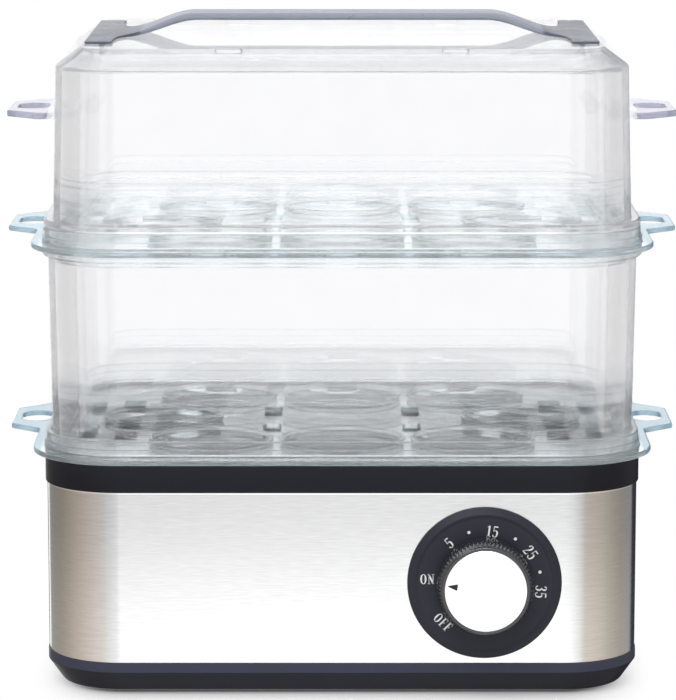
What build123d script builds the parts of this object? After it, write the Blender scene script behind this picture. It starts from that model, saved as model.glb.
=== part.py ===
"""Two-tier steam egg cooker: a heated base with a dial timer, two egg trays, a clear
tier wall between them and a clear lid on top.

Frame: millimetres, +Z up, -Y is the front with the dial, +X is to the right of someone
who faces the front. The origin is the middle of the footprint, on the table.
"""

import os
from math import atan2, cos, pi, radians, sin, tan

from build123d import *

os.makedirs("parts", exist_ok=True)

# ------------------------------------------------------------------ driving sizes
# Plan of the body, taken on the black top ring. Every wall is drawn in from it by an
# inset, and stands out from it when its inset is negative.
BODY_WIDTH = 198.4
BODY_DEPTH = 153.0
CORNER = 26.0

# Heights of the base, from the table up
FOOT_PROUD = 0.8
COVER_HEIGHT = 10.4
HOUSING_HEIGHT = 57.7
RING_HEIGHT = 9.7

# Bottom cover
COVER_INSET = 0.3
COVER_FLOOR = 2.4
COVER_SLOPE_HEIGHT = 7.2
COVER_SLOPE_INSET = 5.0
COVER_ROUND = 2.0
LIP_HEIGHT = 3.0
LIP_WALL = 1.8
LIP_CLEARANCE = 0.2
COOLING_SLOT = (42.0, 3.2)
COOLING_SLOT_PITCH = 9.0
COOLING_SLOT_COUNT = 9

# Housing and the steel sheet that wraps its front
HOUSING_INSET = 0.2
HOUSING_WALL = 3.0
STEEL_INSET = 0.8
STEEL_THICKNESS = 0.6
STEEL_RETURN = 4.0
STEEL_END_GAP = 0.1
BACK_SLOT = (10.0, 2.6)
BACK_SLOT_PITCH = (14.0, 7.0)
BACK_SLOT_COUNT = (7, 2)
BACK_SLOT_DROP = 16.0

# Top ring and the water pan that hangs in it
RING_WALL = 4.3
RING_EDGE_ROUND = 0.8
LEDGE_THICKNESS = 3.5
PAN_SHEET = 0.8
PAN_FLANGE_CLEARANCE = 0.3
SEAL_THICKNESS = 0.8
SEAL_OVERLAP = 1.0
WELL_INSET = 15.0
WELL_CORNER = 22.0
WELL_DEPTH = 18.0
WELL_ROUND = 6.0
WELL_GAP = 2.0
CLAMP_REACH = 8.8
CLAMP_SHEET = 1.2
CLAMP_HALF_WIDTH = 7.0
CLAMP_LEG = 9.0
CLAMP_SCREW_RADIUS = 1.5
CLAMP_SCREW_SHORT = 0.6
CLAMP_SCREW_OUT = 5.6
CLAMP_HEAD_RADIUS = 2.7
CLAMP_HEAD_HEIGHT = 2.0

# Egg trays
STACK_GAP = 0.1
TRAY_FLANGE = 1.8
TRAY_FLANGE_OVERHANG = 4.0
RIM_INSET = 0.3
RIM_WALL = 1.9
RIM_HEIGHT = 5.3
RIM_STEP = 2.6
RIM_STEP_WIDTH = 0.5
SPIGOT_DEPTH = 4.4
SPIGOT_WALL = 2.0
SPIGOT_CLEARANCE = 0.4
FLOOR_DROP = 1.5
FLOOR_SLOPE = 2.5
TAB_REACH = 14.5
TAB_ROOT_HALF = 24.0
TAB_TIP_HALF = 14.5
TAB_ROUND = 2.0
TAB_HOLE_INSET = 8.0
TAB_HOLE_WIDTH = 10.5
TAB_HOLE_LENGTH = 18.0

# Egg seats: three in front, two in the middle, three at the back
SEAT_PITCH_X = 44.0
SEAT_PITCH_Y = 41.0
SEAT_MIDDLE_X = 62.0
SEAT_LOW_RADIUS = 16.6
SEAT_HIGH_RADIUS = 20.0
SEAT_WALL = 1.4
SEAT_DROP = 3.5
SEAT_RISE = 2.0

# Steam slots in the tray floors, as (X, Y) sizes and the middles of their rows
SIDE_SLOT = (6.0, 24.5)
SIDE_SLOT_EDGE = 3.0
SIDE_SLOT_Y = 21.0
CORNER_SLOT = (7.5, 17.0)
CORNER_SLOT_X = 73.5
CORNER_SLOT_Y = 28.0
MIDDLE_SLOT = (6.0, 16.0)
MIDDLE_SLOT_X = 24.0
MIDDLE_SLOT_Y = 15.0
END_SLOT = (12.0, 4.0)
END_SLOT_EDGE = 3.0

# Tier wall
TIER_HEIGHT = 66.6
TIER_THICKNESS = 2.3
TIER_DRAFT = 1.0
TIER_FIT = 0.4
TIER_BEAD_INSET = -0.2
TIER_BEAD_HEIGHT = 2.5

# Lid and its handle
LID_WALL_HEIGHT = 58.2
LID_THICKNESS = 2.3
LID_DRAFT = 1.6
LID_FIT = 1.1
LID_CHAMFER_WIDTH = 8.3
LID_CHAMFER_HEIGHT = 6.1
LID_BEAD_INSET = 0.4
LID_BEAD_HEIGHT = 2.5
LID_TAB_HEIGHT = 37.2
LID_TAB_THICKNESS = 2.2
LID_TAB_REACH = 14.5
LID_TAB_ROOT = 1.0
VENT_LENGTH = 9.0
VENT_WIDTH = 2.4
VENT_X = 37.0
VENT_EDGE = 3.0
HANDLE_THICKNESS = 2.4
HANDLE_RISE = 7.5
HANDLE_RAMP_RISE = 4.5
HANDLE_RAMP_THICKNESS = 2.2
HANDLE_RAMP_SETBACK = 2.0
HANDLE_END_MARGIN = 0.8
HANDLE_PAD_WIDTH = 10.5
HANDLE_PAD_HALF_DEPTH = 44.0
HANDLE_PAD_THICKNESS = 0.8
HANDLE_SLOPE_LENGTH = 24.7
HANDLE_WAIST_HALF = 9.3
HANDLE_FLARE = (2.6, 4.2)
HANDLE_NECK_HALF = 17.8
HANDLE_NECK_SETBACK = 1.7
HANDLE_PAD_LIP = 1.3
HOOK_Y = 30.0
HOOK_LENGTH = 12.0
HOOK_THICKNESS = 1.6
HOOK_BARB = 1.0
HOOK_CLEARANCE = 0.15

# Dial, knob and timer, on one axis that runs front to back
DIAL_CORNER_CLEARANCE = 0.2
DIAL_Z = 38.6
DIAL_RADIUS = 25.5
DIAL_THICKNESS = 2.2
DIAL_FACE_RADIUS = 22.2
DIAL_EDGE = 0.5
DIAL_LIP = (1.2, 0.3)
DIAL_SPIGOT_RADIUS = 21.0
DIAL_SPIGOT_CLEARANCE = 0.2
KNOB_GAP = 0.5
KNOB_LENGTH = 10.1
KNOB_RADIUS = 16.0
KNOB_FACE_RADIUS = 14.5
KNOB_SKIRT = 6.06
KNOB_SKIRT_WALL = 1.6
KNOB_FRONT_WALL = 3.4
KNOB_HUB_RADIUS = 5.5
KNOB_FLUTES = 60
KNOB_FLUTE_RADIUS = 0.55
KNOB_FLUTE_OUT = 0.2
KNOB_CAP_RADIUS = 13.6
KNOB_CAP_THICKNESS = 1.2
POINTER_ANGLE = 172.0
POINTER_LENGTH = 3.4
POINTER_WIDTH = 2.2
POINTER_MARGIN = 0.8
SHAFT_RADIUS = 3.0
SHAFT_FLAT = 2.2
SHAFT_END_DEPTH = 2.2
SHAFT_END_PLAY = 1.0
JOURNAL_RADIUS = 2.0
RUNNING_CLEARANCE = 0.05
BUSH_RADIUS = 3.9
BUSH_LENGTH = 3.6
TIMER_PLATE_THICKNESS = 1.5
TIMER_PLATE_WIDTH = 52.0
TIMER_PLATE_HEIGHT = 45.6
TIMER_PLATE_CORNER = 3.0
TIMER_CASE_WIDTH = 52.0
TIMER_CASE_HEIGHT = 32.0
TIMER_CASE_DEPTH = 21.8
TIMER_CASE_WALL = 1.5
TIMER_SCREW_X = 12.0
TIMER_SCREW_SINK = 2.0
TIMER_HEAD_HEIGHT = 1.7
SMALL_SCREW_RADIUS = 1.5
SMALL_HEAD_RADIUS = 2.7
SMALL_HEAD_CLEARANCE = 0.2
GEAR_MODULE = 0.9
GEAR_BACKLASH = 0.16
GEAR_PRESSURE_ANGLE = 25.0
GEAR_DEDENDUM = 1.25
MAIN_WHEEL_TEETH = 26
PINION_TEETH = 12
WHEEL_THICKNESS = 3.0
WHEEL_BACK = 9.0
ESCAPE_RADIUS = 6.0
ESCAPE_TEETH = 15
ESCAPE_TOOTH = (1.8, 2.2)
ESCAPE_TOOTH_ROOT = 1.2
ESCAPE_RIM = 1.0
ESCAPE_THICKNESS = 1.0
ESCAPE_STANDOFF = 4.0
ARBOR_RADIUS = 1.0
ARBOR_END_PLAY = 0.3
SPRING_TURNS = 4
SPRING_PITCH = 1.7
SPRING_STRIP = 0.5
SPRING_WIDTH = 5.0
SPRING_FRONT_GAP = 1.0
SPRING_SHAFT_GAP = 0.8
BELL_RADIUS = 10.0
BELL_DEPTH = 6.0
BELL_WALL = 1.2
BELL_CHAMFER = 2.0
BELL_STANDOFF = 2.0
BELL_STEM_RADIUS = 2.5
BELL_RAISE = 2.4
BLADE_WIDTH = 6.3
BLADE_THICKNESS = 0.8
BLADE_LENGTH = 8.0
BLADE_DROP = 10.6
BLADE_PITCH = 18.0

# Heater and its controls, under the pan
HEAT_PLATE_RADIUS = 52.0
HEAT_PLATE_THICKNESS = 4.0
ELEMENT_RING_RADIUS = 40.0
ELEMENT_RADIUS = 3.3
ELEMENT_GAP_ANGLE = 30.0
ELEMENT_BEND = 8.0
ELEMENT_DROP = 5.0
BRAZE_GAP = 0.05
BLIND_HOLE_WALL = 1.0
INSULATOR_WALL = 0.9
INSULATOR_LENGTH = 3.0
PIN_LENGTH = 4.0
PIN_RADIUS = 1.6
THERMOSTAT_RADIUS = 8.0
THERMOSTAT_HEIGHT = 9.0
THERMOSTAT_PLATE = 1.0
THERMOSTAT_EAR_REACH = 8.0
THERMOSTAT_EAR_WIDTH = 8.0
THERMOSTAT_SCREW_OUT = 4.0
THERMOSTAT_SCREW_LENGTH = 3.5
THERMOSTAT_HEAD_HEIGHT = 1.8
THERMOSTAT_BLADE_X = 5.0
THERMOSTAT_BLADE_LENGTH = 6.0
FUSE_Y = 22.0
FUSE_HALF_LENGTH = 10.0
FUSE_RADIUS = 2.2
EARTH_STUD_X = -22.0
EARTH_STUD_Y = -14.0
STUD_RADIUS = 2.0
STUD_LENGTH = 8.0
EARTH_NUT_RADIUS = 3.5
EARTH_NUT_HEIGHT = 3.2
EARTH_WASHER_RADIUS = 4.5
EARTH_WASHER = 0.8

# Fasteners, feet and the mains entry
POST_INSET = 16.7
POST_RADIUS = 4.5
BOSS_RADIUS = 5.5
BOSS_HEIGHT = 16.8
CASE_SCREW_RADIUS = 1.7
CASE_SCREW_LENGTH = 18.0
CASE_HEAD_RADIUS = 3.5
CASE_HEAD_HEIGHT = 2.6
CASE_HEAD_DEPTH = 11.2
SCREW_CLEARANCE = 0.25
FOOT_X = 68.0
FOOT_Y = 50.0
FOOT_RADIUS = 8.0
FOOT_RECESS = 1.2
FOOT_CHAMFER = 0.4
FOOT_STEM_RADIUS = 2.5
FOOT_BARB = 0.7
FOOT_BARB_HEIGHT = 1.2
GLAND_X = -56.0
GLAND_Z = 26.0
GLAND_BODY_RADIUS = 6.2
GLAND_BORE_RADIUS = 3.7
GLAND_FLANGE_RADIUS = 8.0
GLAND_FLANGE = 2.5
GLAND_NUT_RADIUS = 8.5
GLAND_NUT_LENGTH = 4.0
GLAND_THREAD_PROUD = 2.0
BLOCK_X = -56.0
BLOCK_Y = 50.0
BLOCK_WIDTH = 30.0
BLOCK_DEPTH = 16.0
BLOCK_HEIGHT = 12.0
BLOCK_STANDOFF = 3.8
BLOCK_PITCH = 10.0
POLE_RADIUS = 3.2
POLE_DEPTH = 3.0
POLE_SCREW_CLEARANCE = 0.3
POLE_SCREW_SINK = 0.8
POLE_SLOT_WIDTH = 0.8
POLE_SLOT_DEPTH = 1.0
WIRE_RADIUS = 1.1
WIRE_BEND_SHARE = 0.45

# ------------------------------------------------------------------ worked-out sizes
HOUSING_INNER = HOUSING_INSET + HOUSING_WALL
STEEL_INNER = STEEL_INSET + STEEL_THICKNESS
LIP_OUTER = HOUSING_INNER + LIP_CLEARANCE
LIP_INNER = LIP_OUTER + LIP_WALL
RIM_INNER = RIM_INSET + RIM_WALL
TIER_LOW_INSET = RIM_INNER + TIER_FIT
TIER_HIGH_INSET = TIER_LOW_INSET - TIER_DRAFT
SPIGOT_INSET = max(RING_WALL, TIER_HIGH_INSET + TIER_THICKNESS) + SPIGOT_CLEARANCE
SPIGOT_INNER = SPIGOT_INSET + SPIGOT_WALL
LID_LOW_INSET = RIM_INNER + LID_FIT
LID_HIGH_INSET = LID_LOW_INSET + LID_DRAFT
LID_TOP_INSET = LID_HIGH_INSET + LID_CHAMFER_WIDTH
HANDLE_HALF_LENGTH = BODY_WIDTH / 2 - LID_TOP_INSET - HANDLE_END_MARGIN
HANDLE_PAD_INNER = HANDLE_HALF_LENGTH - HANDLE_PAD_WIDTH
HANDLE_FLAT_HALF = HANDLE_PAD_INNER - HANDLE_SLOPE_LENGTH

COVER_Z = FOOT_PROUD
FLOOR_Z = COVER_Z + COVER_FLOOR
HOUSING_Z = COVER_Z + COVER_HEIGHT
RING_Z = HOUSING_Z + HOUSING_HEIGHT
LEDGE_Z = RING_Z + LEDGE_THICKNESS
RING_TOP = RING_Z + RING_HEIGHT
PAN_FLANGE_Z = LEDGE_Z + SEAL_THICKNESS
PAN_TOP = PAN_FLANGE_Z + PAN_SHEET
PAN_FLOOR_Z = PAN_TOP - WELL_DEPTH
PLATE_Z = PAN_FLOOR_Z - HEAT_PLATE_THICKNESS
BOSS_TOP = FLOOR_Z + BOSS_HEIGHT

LOWER_TRAY_Z = RING_TOP + STACK_GAP
TIER_Z = LOWER_TRAY_Z + TRAY_FLANGE + STACK_GAP
TIER_TOP = TIER_Z + TIER_HEIGHT
UPPER_TRAY_Z = TIER_TOP + STACK_GAP
LID_Z = UPPER_TRAY_Z + TRAY_FLANGE + STACK_GAP
LID_BEAD_Z = UPPER_TRAY_Z + TRAY_FLANGE + RIM_HEIGHT + STACK_GAP
LID_FOLD_Z = LID_Z + LID_WALL_HEIGHT
LID_TOP = LID_FOLD_Z + LID_CHAMFER_HEIGHT

DIAL_X = BODY_WIDTH / 2 - CORNER - TIMER_PLATE_WIDTH / 2 - DIAL_CORNER_CLEARANCE
STEEL_FACE_Y = -BODY_DEPTH / 2 + STEEL_INSET
STEEL_END_Y = -BODY_DEPTH / 2 + CORNER + STEEL_RETURN
FRONT_INNER_Y = -BODY_DEPTH / 2 + HOUSING_INNER
REAR_FACE_Y = BODY_DEPTH / 2 - HOUSING_INSET
REAR_INNER_Y = BODY_DEPTH / 2 - HOUSING_INNER
DIAL_FACE_Y = STEEL_FACE_Y - DIAL_THICKNESS
KNOB_BACK_Y = DIAL_FACE_Y - KNOB_GAP
KNOB_FRONT_Y = KNOB_BACK_Y - KNOB_LENGTH
TIMER_PLATE_Y = FRONT_INNER_Y + TIMER_PLATE_THICKNESS
TIMER_BACK_Y = TIMER_PLATE_Y + TIMER_CASE_DEPTH
WHEEL_BACK_Y = TIMER_BACK_Y - WHEEL_BACK
GEAR_DISTANCE = GEAR_MODULE * (MAIN_WHEEL_TEETH + PINION_TEETH) / 2
TIMER_AXIS = Axis((DIAL_X, 0, DIAL_Z), (0, 1, 0))
PINION_AXIS = Axis((DIAL_X + GEAR_DISTANCE, 0, DIAL_Z), (0, 1, 0))
BLADE_Z = DIAL_Z - BLADE_DROP

POST_X = BODY_WIDTH / 2 - POST_INSET
POST_Y = BODY_DEPTH / 2 - POST_INSET
POSTS = [(x, y) for x in (-POST_X, POST_X) for y in (-POST_Y, POST_Y)]
FEET = [(x, y) for x in (-FOOT_X, FOOT_X) for y in (-FOOT_Y, FOOT_Y)]
SEATS = [(x * SEAT_PITCH_X, y * SEAT_PITCH_Y) for y in (-1, 1) for x in (-1, 0, 1)]
SEATS += [(-SEAT_MIDDLE_X, 0), (SEAT_MIDDLE_X, 0)]


# ------------------------------------------------------------------ shared shapes
def outline(inset, corner=None, mode=Mode.ADD):
    """Adds the body's plan to the open sketch, drawn in by inset."""
    radius = CORNER - inset if corner is None else corner
    RectangleRounded(BODY_WIDTH - 2 * inset, BODY_DEPTH - 2 * inset, radius, mode=mode)


def slab(inset, bottom, top, mode=Mode.ADD, corner=None):
    """Fills the plan between two heights."""
    with BuildSketch(Plane.XY.offset(bottom)) as profile:
        outline(inset, corner)
    extrude(profile.sketch, amount=top - bottom, mode=mode)


def band(outer, inner, bottom, top, mode=Mode.ADD):
    """Adds a wall between two insets of the plan, from one height to another."""
    with BuildSketch(Plane.XY.offset(bottom)) as profile:
        outline(outer)
        outline(inner, mode=Mode.SUBTRACT)
    extrude(profile.sketch, amount=top - bottom, mode=mode)


def tapered(low_inset, low_z, high_inset, high_z, mode=Mode.ADD):
    """Fills the plan between two heights whose insets differ."""
    with BuildSketch(Plane.XY.offset(low_z)) as low:
        outline(low_inset)
    with BuildSketch(Plane.XY.offset(high_z)) as high:
        outline(high_inset)
    loft([low.sketch, high.sketch], ruled=True, mode=mode)


def post(radius, bottom, top, places, mode=Mode.ADD):
    """Adds upright round bars at the given plan places."""
    with BuildSketch(Plane.XY.offset(bottom)) as profile:
        with Locations(*places):
            Circle(radius)
    extrude(profile.sketch, amount=top - bottom, mode=mode)


def block(x, y, z, mode=Mode.ADD):
    """Adds a box that spans the given (low, high) pairs."""
    with BuildSketch(Plane.XY.offset(z[0])) as profile:
        with Locations(((x[0] + x[1]) / 2, (y[0] + y[1]) / 2)):
            Rectangle(x[1] - x[0], y[1] - y[0])
    extrude(profile.sketch, amount=z[1] - z[0], mode=mode)


def turned(points, axis=TIMER_AXIS, mode=Mode.ADD):
    """Turns a closed profile of (radius, y) points about a front-to-back axis."""
    with BuildSketch(Plane(origin=(axis.position.X, 0, axis.position.Z))) as profile:
        with BuildLine():
            Polyline(*points, close=True)
        make_face()
    revolve(profile.sketch, axis=axis, mode=mode)


def rod(radius, back_y, front_y, axis=TIMER_AXIS, mode=Mode.ADD):
    """Adds a round bar about a front-to-back axis."""
    turned([(0, back_y), (radius, back_y), (radius, front_y), (0, front_y)], axis, mode)


def screws_up(places, seat, length, radius, head_radius, head_height):
    """Adds cross-head screws that point up, with their heads under the seat height."""
    post(head_radius, seat - head_height, seat, places)
    post(radius, seat, seat + length, places)
    with BuildSketch(Plane.XY.offset(seat - head_height)) as recess:
        with Locations(*places):
            Rectangle(1.3 * head_radius, 0.3 * head_radius)
            Rectangle(0.3 * head_radius, 1.3 * head_radius)
    extrude(recess.sketch, amount=head_height / 2, mode=Mode.SUBTRACT)


def tab_holes(bottom, top, reach):
    """Cuts the finger slot of each side tab."""
    centre = BODY_WIDTH / 2 + reach - TAB_HOLE_INSET
    with BuildSketch(Plane.XY.offset(bottom)) as slots:
        with Locations((-centre, 0), (centre, 0)):
            SlotOverall(TAB_HOLE_LENGTH, TAB_HOLE_WIDTH, rotation=90)
    extrude(slots.sketch, amount=top - bottom, mode=Mode.SUBTRACT)


def tabs(root_x, bottom, top, reach):
    """Adds the two finger tabs, which narrow from the flange to the tip."""
    tip_x = BODY_WIDTH / 2 + reach
    shoulder_x = BODY_WIDTH / 2 + TRAY_FLANGE_OVERHANG
    for side in (-1, 1):
        with BuildSketch(Plane.XY.offset(bottom)) as profile:
            with BuildLine():
                Polyline(
                    (side * root_x, -TAB_ROOT_HALF),
                    (side * shoulder_x, -TAB_ROOT_HALF),
                    (side * tip_x, -TAB_TIP_HALF),
                    (side * tip_x, TAB_TIP_HALF),
                    (side * shoulder_x, TAB_ROOT_HALF),
                    (side * root_x, TAB_ROOT_HALF),
                    close=True,
                )
            make_face()
            corners = profile.vertices().filter_by(lambda v: abs(v.X) > tip_x - 0.1)
            fillet(corners, TAB_ROUND)
        extrude(profile.sketch, amount=top - bottom)


def finish(piece, name):
    """Labels a finished piece and writes it to its own file."""
    piece.part.label = name
    export_step(piece.part, f"parts/{name}.step")


# ------------------------------------------------------------------ base: outer shells
SCREW_SEAT = COVER_Z + CASE_HEAD_DEPTH
SCREW_END = SCREW_SEAT + CASE_SCREW_LENGTH
BLOCK_Z = FLOOR_Z + BLOCK_STANDOFF
BLOCK_POSTS = [(BLOCK_X - BLOCK_PITCH / 2, BLOCK_Y), (BLOCK_X + BLOCK_PITCH / 2, BLOCK_Y)]

with BuildPart() as bottom_cover:
    # Upright above and drawn in below, with a rounded lower edge
    slope_top = COVER_Z + COVER_SLOPE_HEIGHT
    tapered(COVER_INSET + COVER_SLOPE_INSET, COVER_Z, COVER_INSET, slope_top)
    fillet(bottom_cover.faces().sort_by(Axis.Z)[0].edges(), COVER_ROUND)
    slab(COVER_INSET, slope_top, HOUSING_Z)
    slab(LIP_INNER, FLOOR_Z, HOUSING_Z, Mode.SUBTRACT)
    band(LIP_OUTER, LIP_INNER, HOUSING_Z, HOUSING_Z + LIP_HEIGHT)
    post(BOSS_RADIUS, FLOOR_Z, BOSS_TOP, POSTS)
    post(CASE_SCREW_RADIUS + SCREW_CLEARANCE, COVER_Z, BOSS_TOP, POSTS, Mode.SUBTRACT)
    post(CASE_HEAD_RADIUS + SCREW_CLEARANCE, COVER_Z, SCREW_SEAT, POSTS, Mode.SUBTRACT)
    post(FOOT_RADIUS + SCREW_CLEARANCE, COVER_Z, COVER_Z + FOOT_RECESS, FEET, Mode.SUBTRACT)
    post(FOOT_STEM_RADIUS, COVER_Z, FLOOR_Z, FEET, Mode.SUBTRACT)
    post(BLOCK_PITCH / 4, FLOOR_Z, BLOCK_Z, BLOCK_POSTS)
    # Cooling slots across the middle of the floor
    with BuildSketch(Plane.XY.offset(COVER_Z)) as cooling_slots:
        with GridLocations(COOLING_SLOT_PITCH, 0, COOLING_SLOT_COUNT, 1):
            SlotOverall(*COOLING_SLOT, rotation=90)
    extrude(cooling_slots.sketch, amount=COVER_FLOOR, mode=Mode.SUBTRACT)
finish(bottom_cover, "bottom_cover")

with BuildPart() as housing:
    band(HOUSING_INSET, HOUSING_INNER, HOUSING_Z, RING_Z)
    # The front and its corners are set back for the steel sheet
    with BuildSketch(Plane.XY.offset(HOUSING_Z)) as steel_recess:
        with Locations((0, STEEL_END_Y)):
            Rectangle(2 * BODY_WIDTH, BODY_DEPTH, align=(Align.CENTER, Align.MAX))
        outline(STEEL_INNER, mode=Mode.SUBTRACT)
    extrude(steel_recess.sketch, amount=HOUSING_HEIGHT, mode=Mode.SUBTRACT)
    rod(DIAL_SPIGOT_RADIUS + DIAL_SPIGOT_CLEARANCE, 0, -BODY_DEPTH, mode=Mode.SUBTRACT)
    with BuildSketch(Plane.XZ) as gland_hole:
        with Locations((GLAND_X, GLAND_Z)):
            Circle(GLAND_BODY_RADIUS)
    extrude(gland_hole.sketch, amount=-BODY_DEPTH, mode=Mode.SUBTRACT)
    # Rows of cooling slots high on the back wall
    with BuildSketch(Plane.XZ) as back_slots:
        with Locations((0, RING_Z - BACK_SLOT_DROP)):
            with GridLocations(*BACK_SLOT_PITCH, *BACK_SLOT_COUNT):
                SlotOverall(*BACK_SLOT)
    extrude(back_slots.sketch, amount=-BODY_DEPTH, mode=Mode.SUBTRACT)
finish(housing, "housing")

with BuildPart() as steel_panel:
    band(STEEL_INSET, STEEL_INNER, HOUSING_Z, RING_Z)
    block(
        (-BODY_WIDTH, BODY_WIDTH),
        (STEEL_END_Y - STEEL_END_GAP, BODY_DEPTH),
        (HOUSING_Z, RING_Z),
        Mode.SUBTRACT,
    )
    rod(DIAL_SPIGOT_RADIUS + DIAL_SPIGOT_CLEARANCE, 0, -BODY_DEPTH, mode=Mode.SUBTRACT)
finish(steel_panel, "steel_panel")

CLAMP_SCREW_LENGTH = CLAMP_SHEET + LEDGE_THICKNESS - CLAMP_SCREW_SHORT
WELL_X = BODY_WIDTH / 2 - WELL_INSET
WELL_Y = BODY_DEPTH / 2 - WELL_INSET
CLAMP_SCREWS = [
    (-WELL_X - CLAMP_SCREW_OUT, 0),
    (WELL_X + CLAMP_SCREW_OUT, 0),
    (0, -WELL_Y - CLAMP_SCREW_OUT),
    (0, WELL_Y + CLAMP_SCREW_OUT),
]

with BuildPart() as top_ring:
    slab(0, RING_Z, RING_TOP)
    fillet(top_ring.faces().sort_by(Axis.Z)[-1].edges(), RING_EDGE_ROUND)
    slab(RING_WALL, LEDGE_Z, RING_TOP, Mode.SUBTRACT)
    slab(WELL_INSET - WELL_GAP, RING_Z, LEDGE_Z, Mode.SUBTRACT, WELL_CORNER + WELL_GAP)
    band(LIP_OUTER, LIP_INNER, RING_Z - LIP_HEIGHT, RING_Z)
    post(POST_RADIUS, BOSS_TOP, RING_Z, POSTS)
    post(CASE_SCREW_RADIUS, BOSS_TOP, SCREW_END, POSTS, Mode.SUBTRACT)
    clamp_pilot_top = RING_Z - CLAMP_SHEET + CLAMP_SCREW_LENGTH
    post(CLAMP_SCREW_RADIUS, RING_Z, clamp_pilot_top, CLAMP_SCREWS, Mode.SUBTRACT)
finish(top_ring, "top_ring")

with BuildPart() as case_screws:
    screws_up(
        POSTS,
        SCREW_SEAT,
        CASE_SCREW_LENGTH,
        CASE_SCREW_RADIUS,
        CASE_HEAD_RADIUS,
        CASE_HEAD_HEIGHT,
    )
finish(case_screws, "case_screws")

with BuildPart() as rubber_feet:
    post(FOOT_RADIUS, 0, COVER_Z + FOOT_RECESS, FEET)
    chamfer(rubber_feet.faces().sort_by(Axis.Z)[:4].edges(), FOOT_CHAMFER)
    post(FOOT_STEM_RADIUS, COVER_Z + FOOT_RECESS, FLOOR_Z, FEET)
    post(FOOT_STEM_RADIUS + FOOT_BARB, FLOOR_Z, FLOOR_Z + FOOT_BARB_HEIGHT, FEET)
finish(rubber_feet, "rubber_feet")

# ------------------------------------------------------------------ base: pan and heater
PAN_FLANGE_INSET = RING_WALL + PAN_FLANGE_CLEARANCE

with BuildPart() as pan_seal:
    with BuildSketch(Plane.XY.offset(LEDGE_Z)) as seal_plan:
        outline(PAN_FLANGE_INSET)
        outline(WELL_INSET - SEAL_OVERLAP, WELL_CORNER + SEAL_OVERLAP, mode=Mode.SUBTRACT)
    extrude(amount=SEAL_THICKNESS)
finish(pan_seal, "pan_seal")

with BuildPart() as heating_pan:
    slab(WELL_INSET, PAN_FLOOR_Z, PAN_FLANGE_Z, corner=WELL_CORNER)
    fillet(heating_pan.faces().sort_by(Axis.Z)[0].edges(), WELL_ROUND)
    slab(PAN_FLANGE_INSET, PAN_FLANGE_Z, PAN_TOP)
    with BuildPart(mode=Mode.PRIVATE) as water_space:
        slab(
            WELL_INSET + PAN_SHEET,
            PAN_FLOOR_Z + PAN_SHEET,
            PAN_TOP,
            corner=WELL_CORNER - PAN_SHEET,
        )
        fillet(water_space.faces().sort_by(Axis.Z)[0].edges(), WELL_ROUND - PAN_SHEET)
    add(water_space.part, mode=Mode.SUBTRACT)
finish(heating_pan, "heating_pan")

with BuildPart() as pan_clamps:
    width = (-CLAMP_HALF_WIDTH, CLAMP_HALF_WIDTH)
    sheet = (RING_Z - CLAMP_SHEET, RING_Z)
    upright = (RING_Z - CLAMP_LEG, RING_Z)
    for side in (-1, 1):
        block(sorted((side * WELL_X, side * (WELL_X + CLAMP_REACH))), width, sheet)
        block(sorted((side * WELL_X, side * (WELL_X + CLAMP_SHEET))), width, upright)
        block(width, sorted((side * WELL_Y, side * (WELL_Y + CLAMP_REACH))), sheet)
        block(width, sorted((side * WELL_Y, side * (WELL_Y + CLAMP_SHEET))), upright)
    post(CLAMP_SCREW_RADIUS, RING_Z - CLAMP_SHEET, RING_Z, CLAMP_SCREWS, Mode.SUBTRACT)
finish(pan_clamps, "pan_clamps")

with BuildPart() as clamp_screws:
    screws_up(
        CLAMP_SCREWS,
        RING_Z - CLAMP_SHEET,
        CLAMP_SCREW_LENGTH,
        CLAMP_SCREW_RADIUS,
        CLAMP_HEAD_RADIUS,
        CLAMP_HEAD_HEIGHT,
    )
finish(clamp_screws, "clamp_screws")

THERMOSTAT_SCREW_X = THERMOSTAT_RADIUS + THERMOSTAT_SCREW_OUT
THERMOSTAT_SCREWS = [(-THERMOSTAT_SCREW_X, 0), (THERMOSTAT_SCREW_X, 0)]
BLIND_HOLE_TOP = PAN_FLOOR_Z - BLIND_HOLE_WALL
EARTH_STUD = [(EARTH_STUD_X, EARTH_STUD_Y)]

with BuildPart() as heat_plate:
    post(HEAT_PLATE_RADIUS, PLATE_Z, PAN_FLOOR_Z, [(0, 0)])
    post(SMALL_SCREW_RADIUS, PLATE_Z, BLIND_HOLE_TOP, THERMOSTAT_SCREWS, Mode.SUBTRACT)
    post(STUD_RADIUS, PLATE_Z, BLIND_HOLE_TOP, EARTH_STUD, Mode.SUBTRACT)
finish(heat_plate, "heat_plate")

ELEMENT_Z = PLATE_Z - BRAZE_GAP - ELEMENT_RADIUS


def element_leg(path, side):
    """Adds the bend and the straight that turn one end of the heater tube down."""
    end = path @ (0 if side > 0 else 1)
    along = path % (0 if side > 0 else 1)
    outward = Vector(-along.X, -along.Y, 0) if side > 0 else along
    bend_centre = end + Vector(0, 0, -ELEMENT_BEND)
    knee = end + outward * (ELEMENT_BEND * sin(pi / 4))
    knee += Vector(0, 0, -ELEMENT_BEND * (1 - cos(pi / 4)))
    low = bend_centre + outward * ELEMENT_BEND
    foot = low - Vector(0, 0, ELEMENT_DROP)
    ThreePointArc(end, knee, low)
    Line(low, foot)
    return foot


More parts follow.
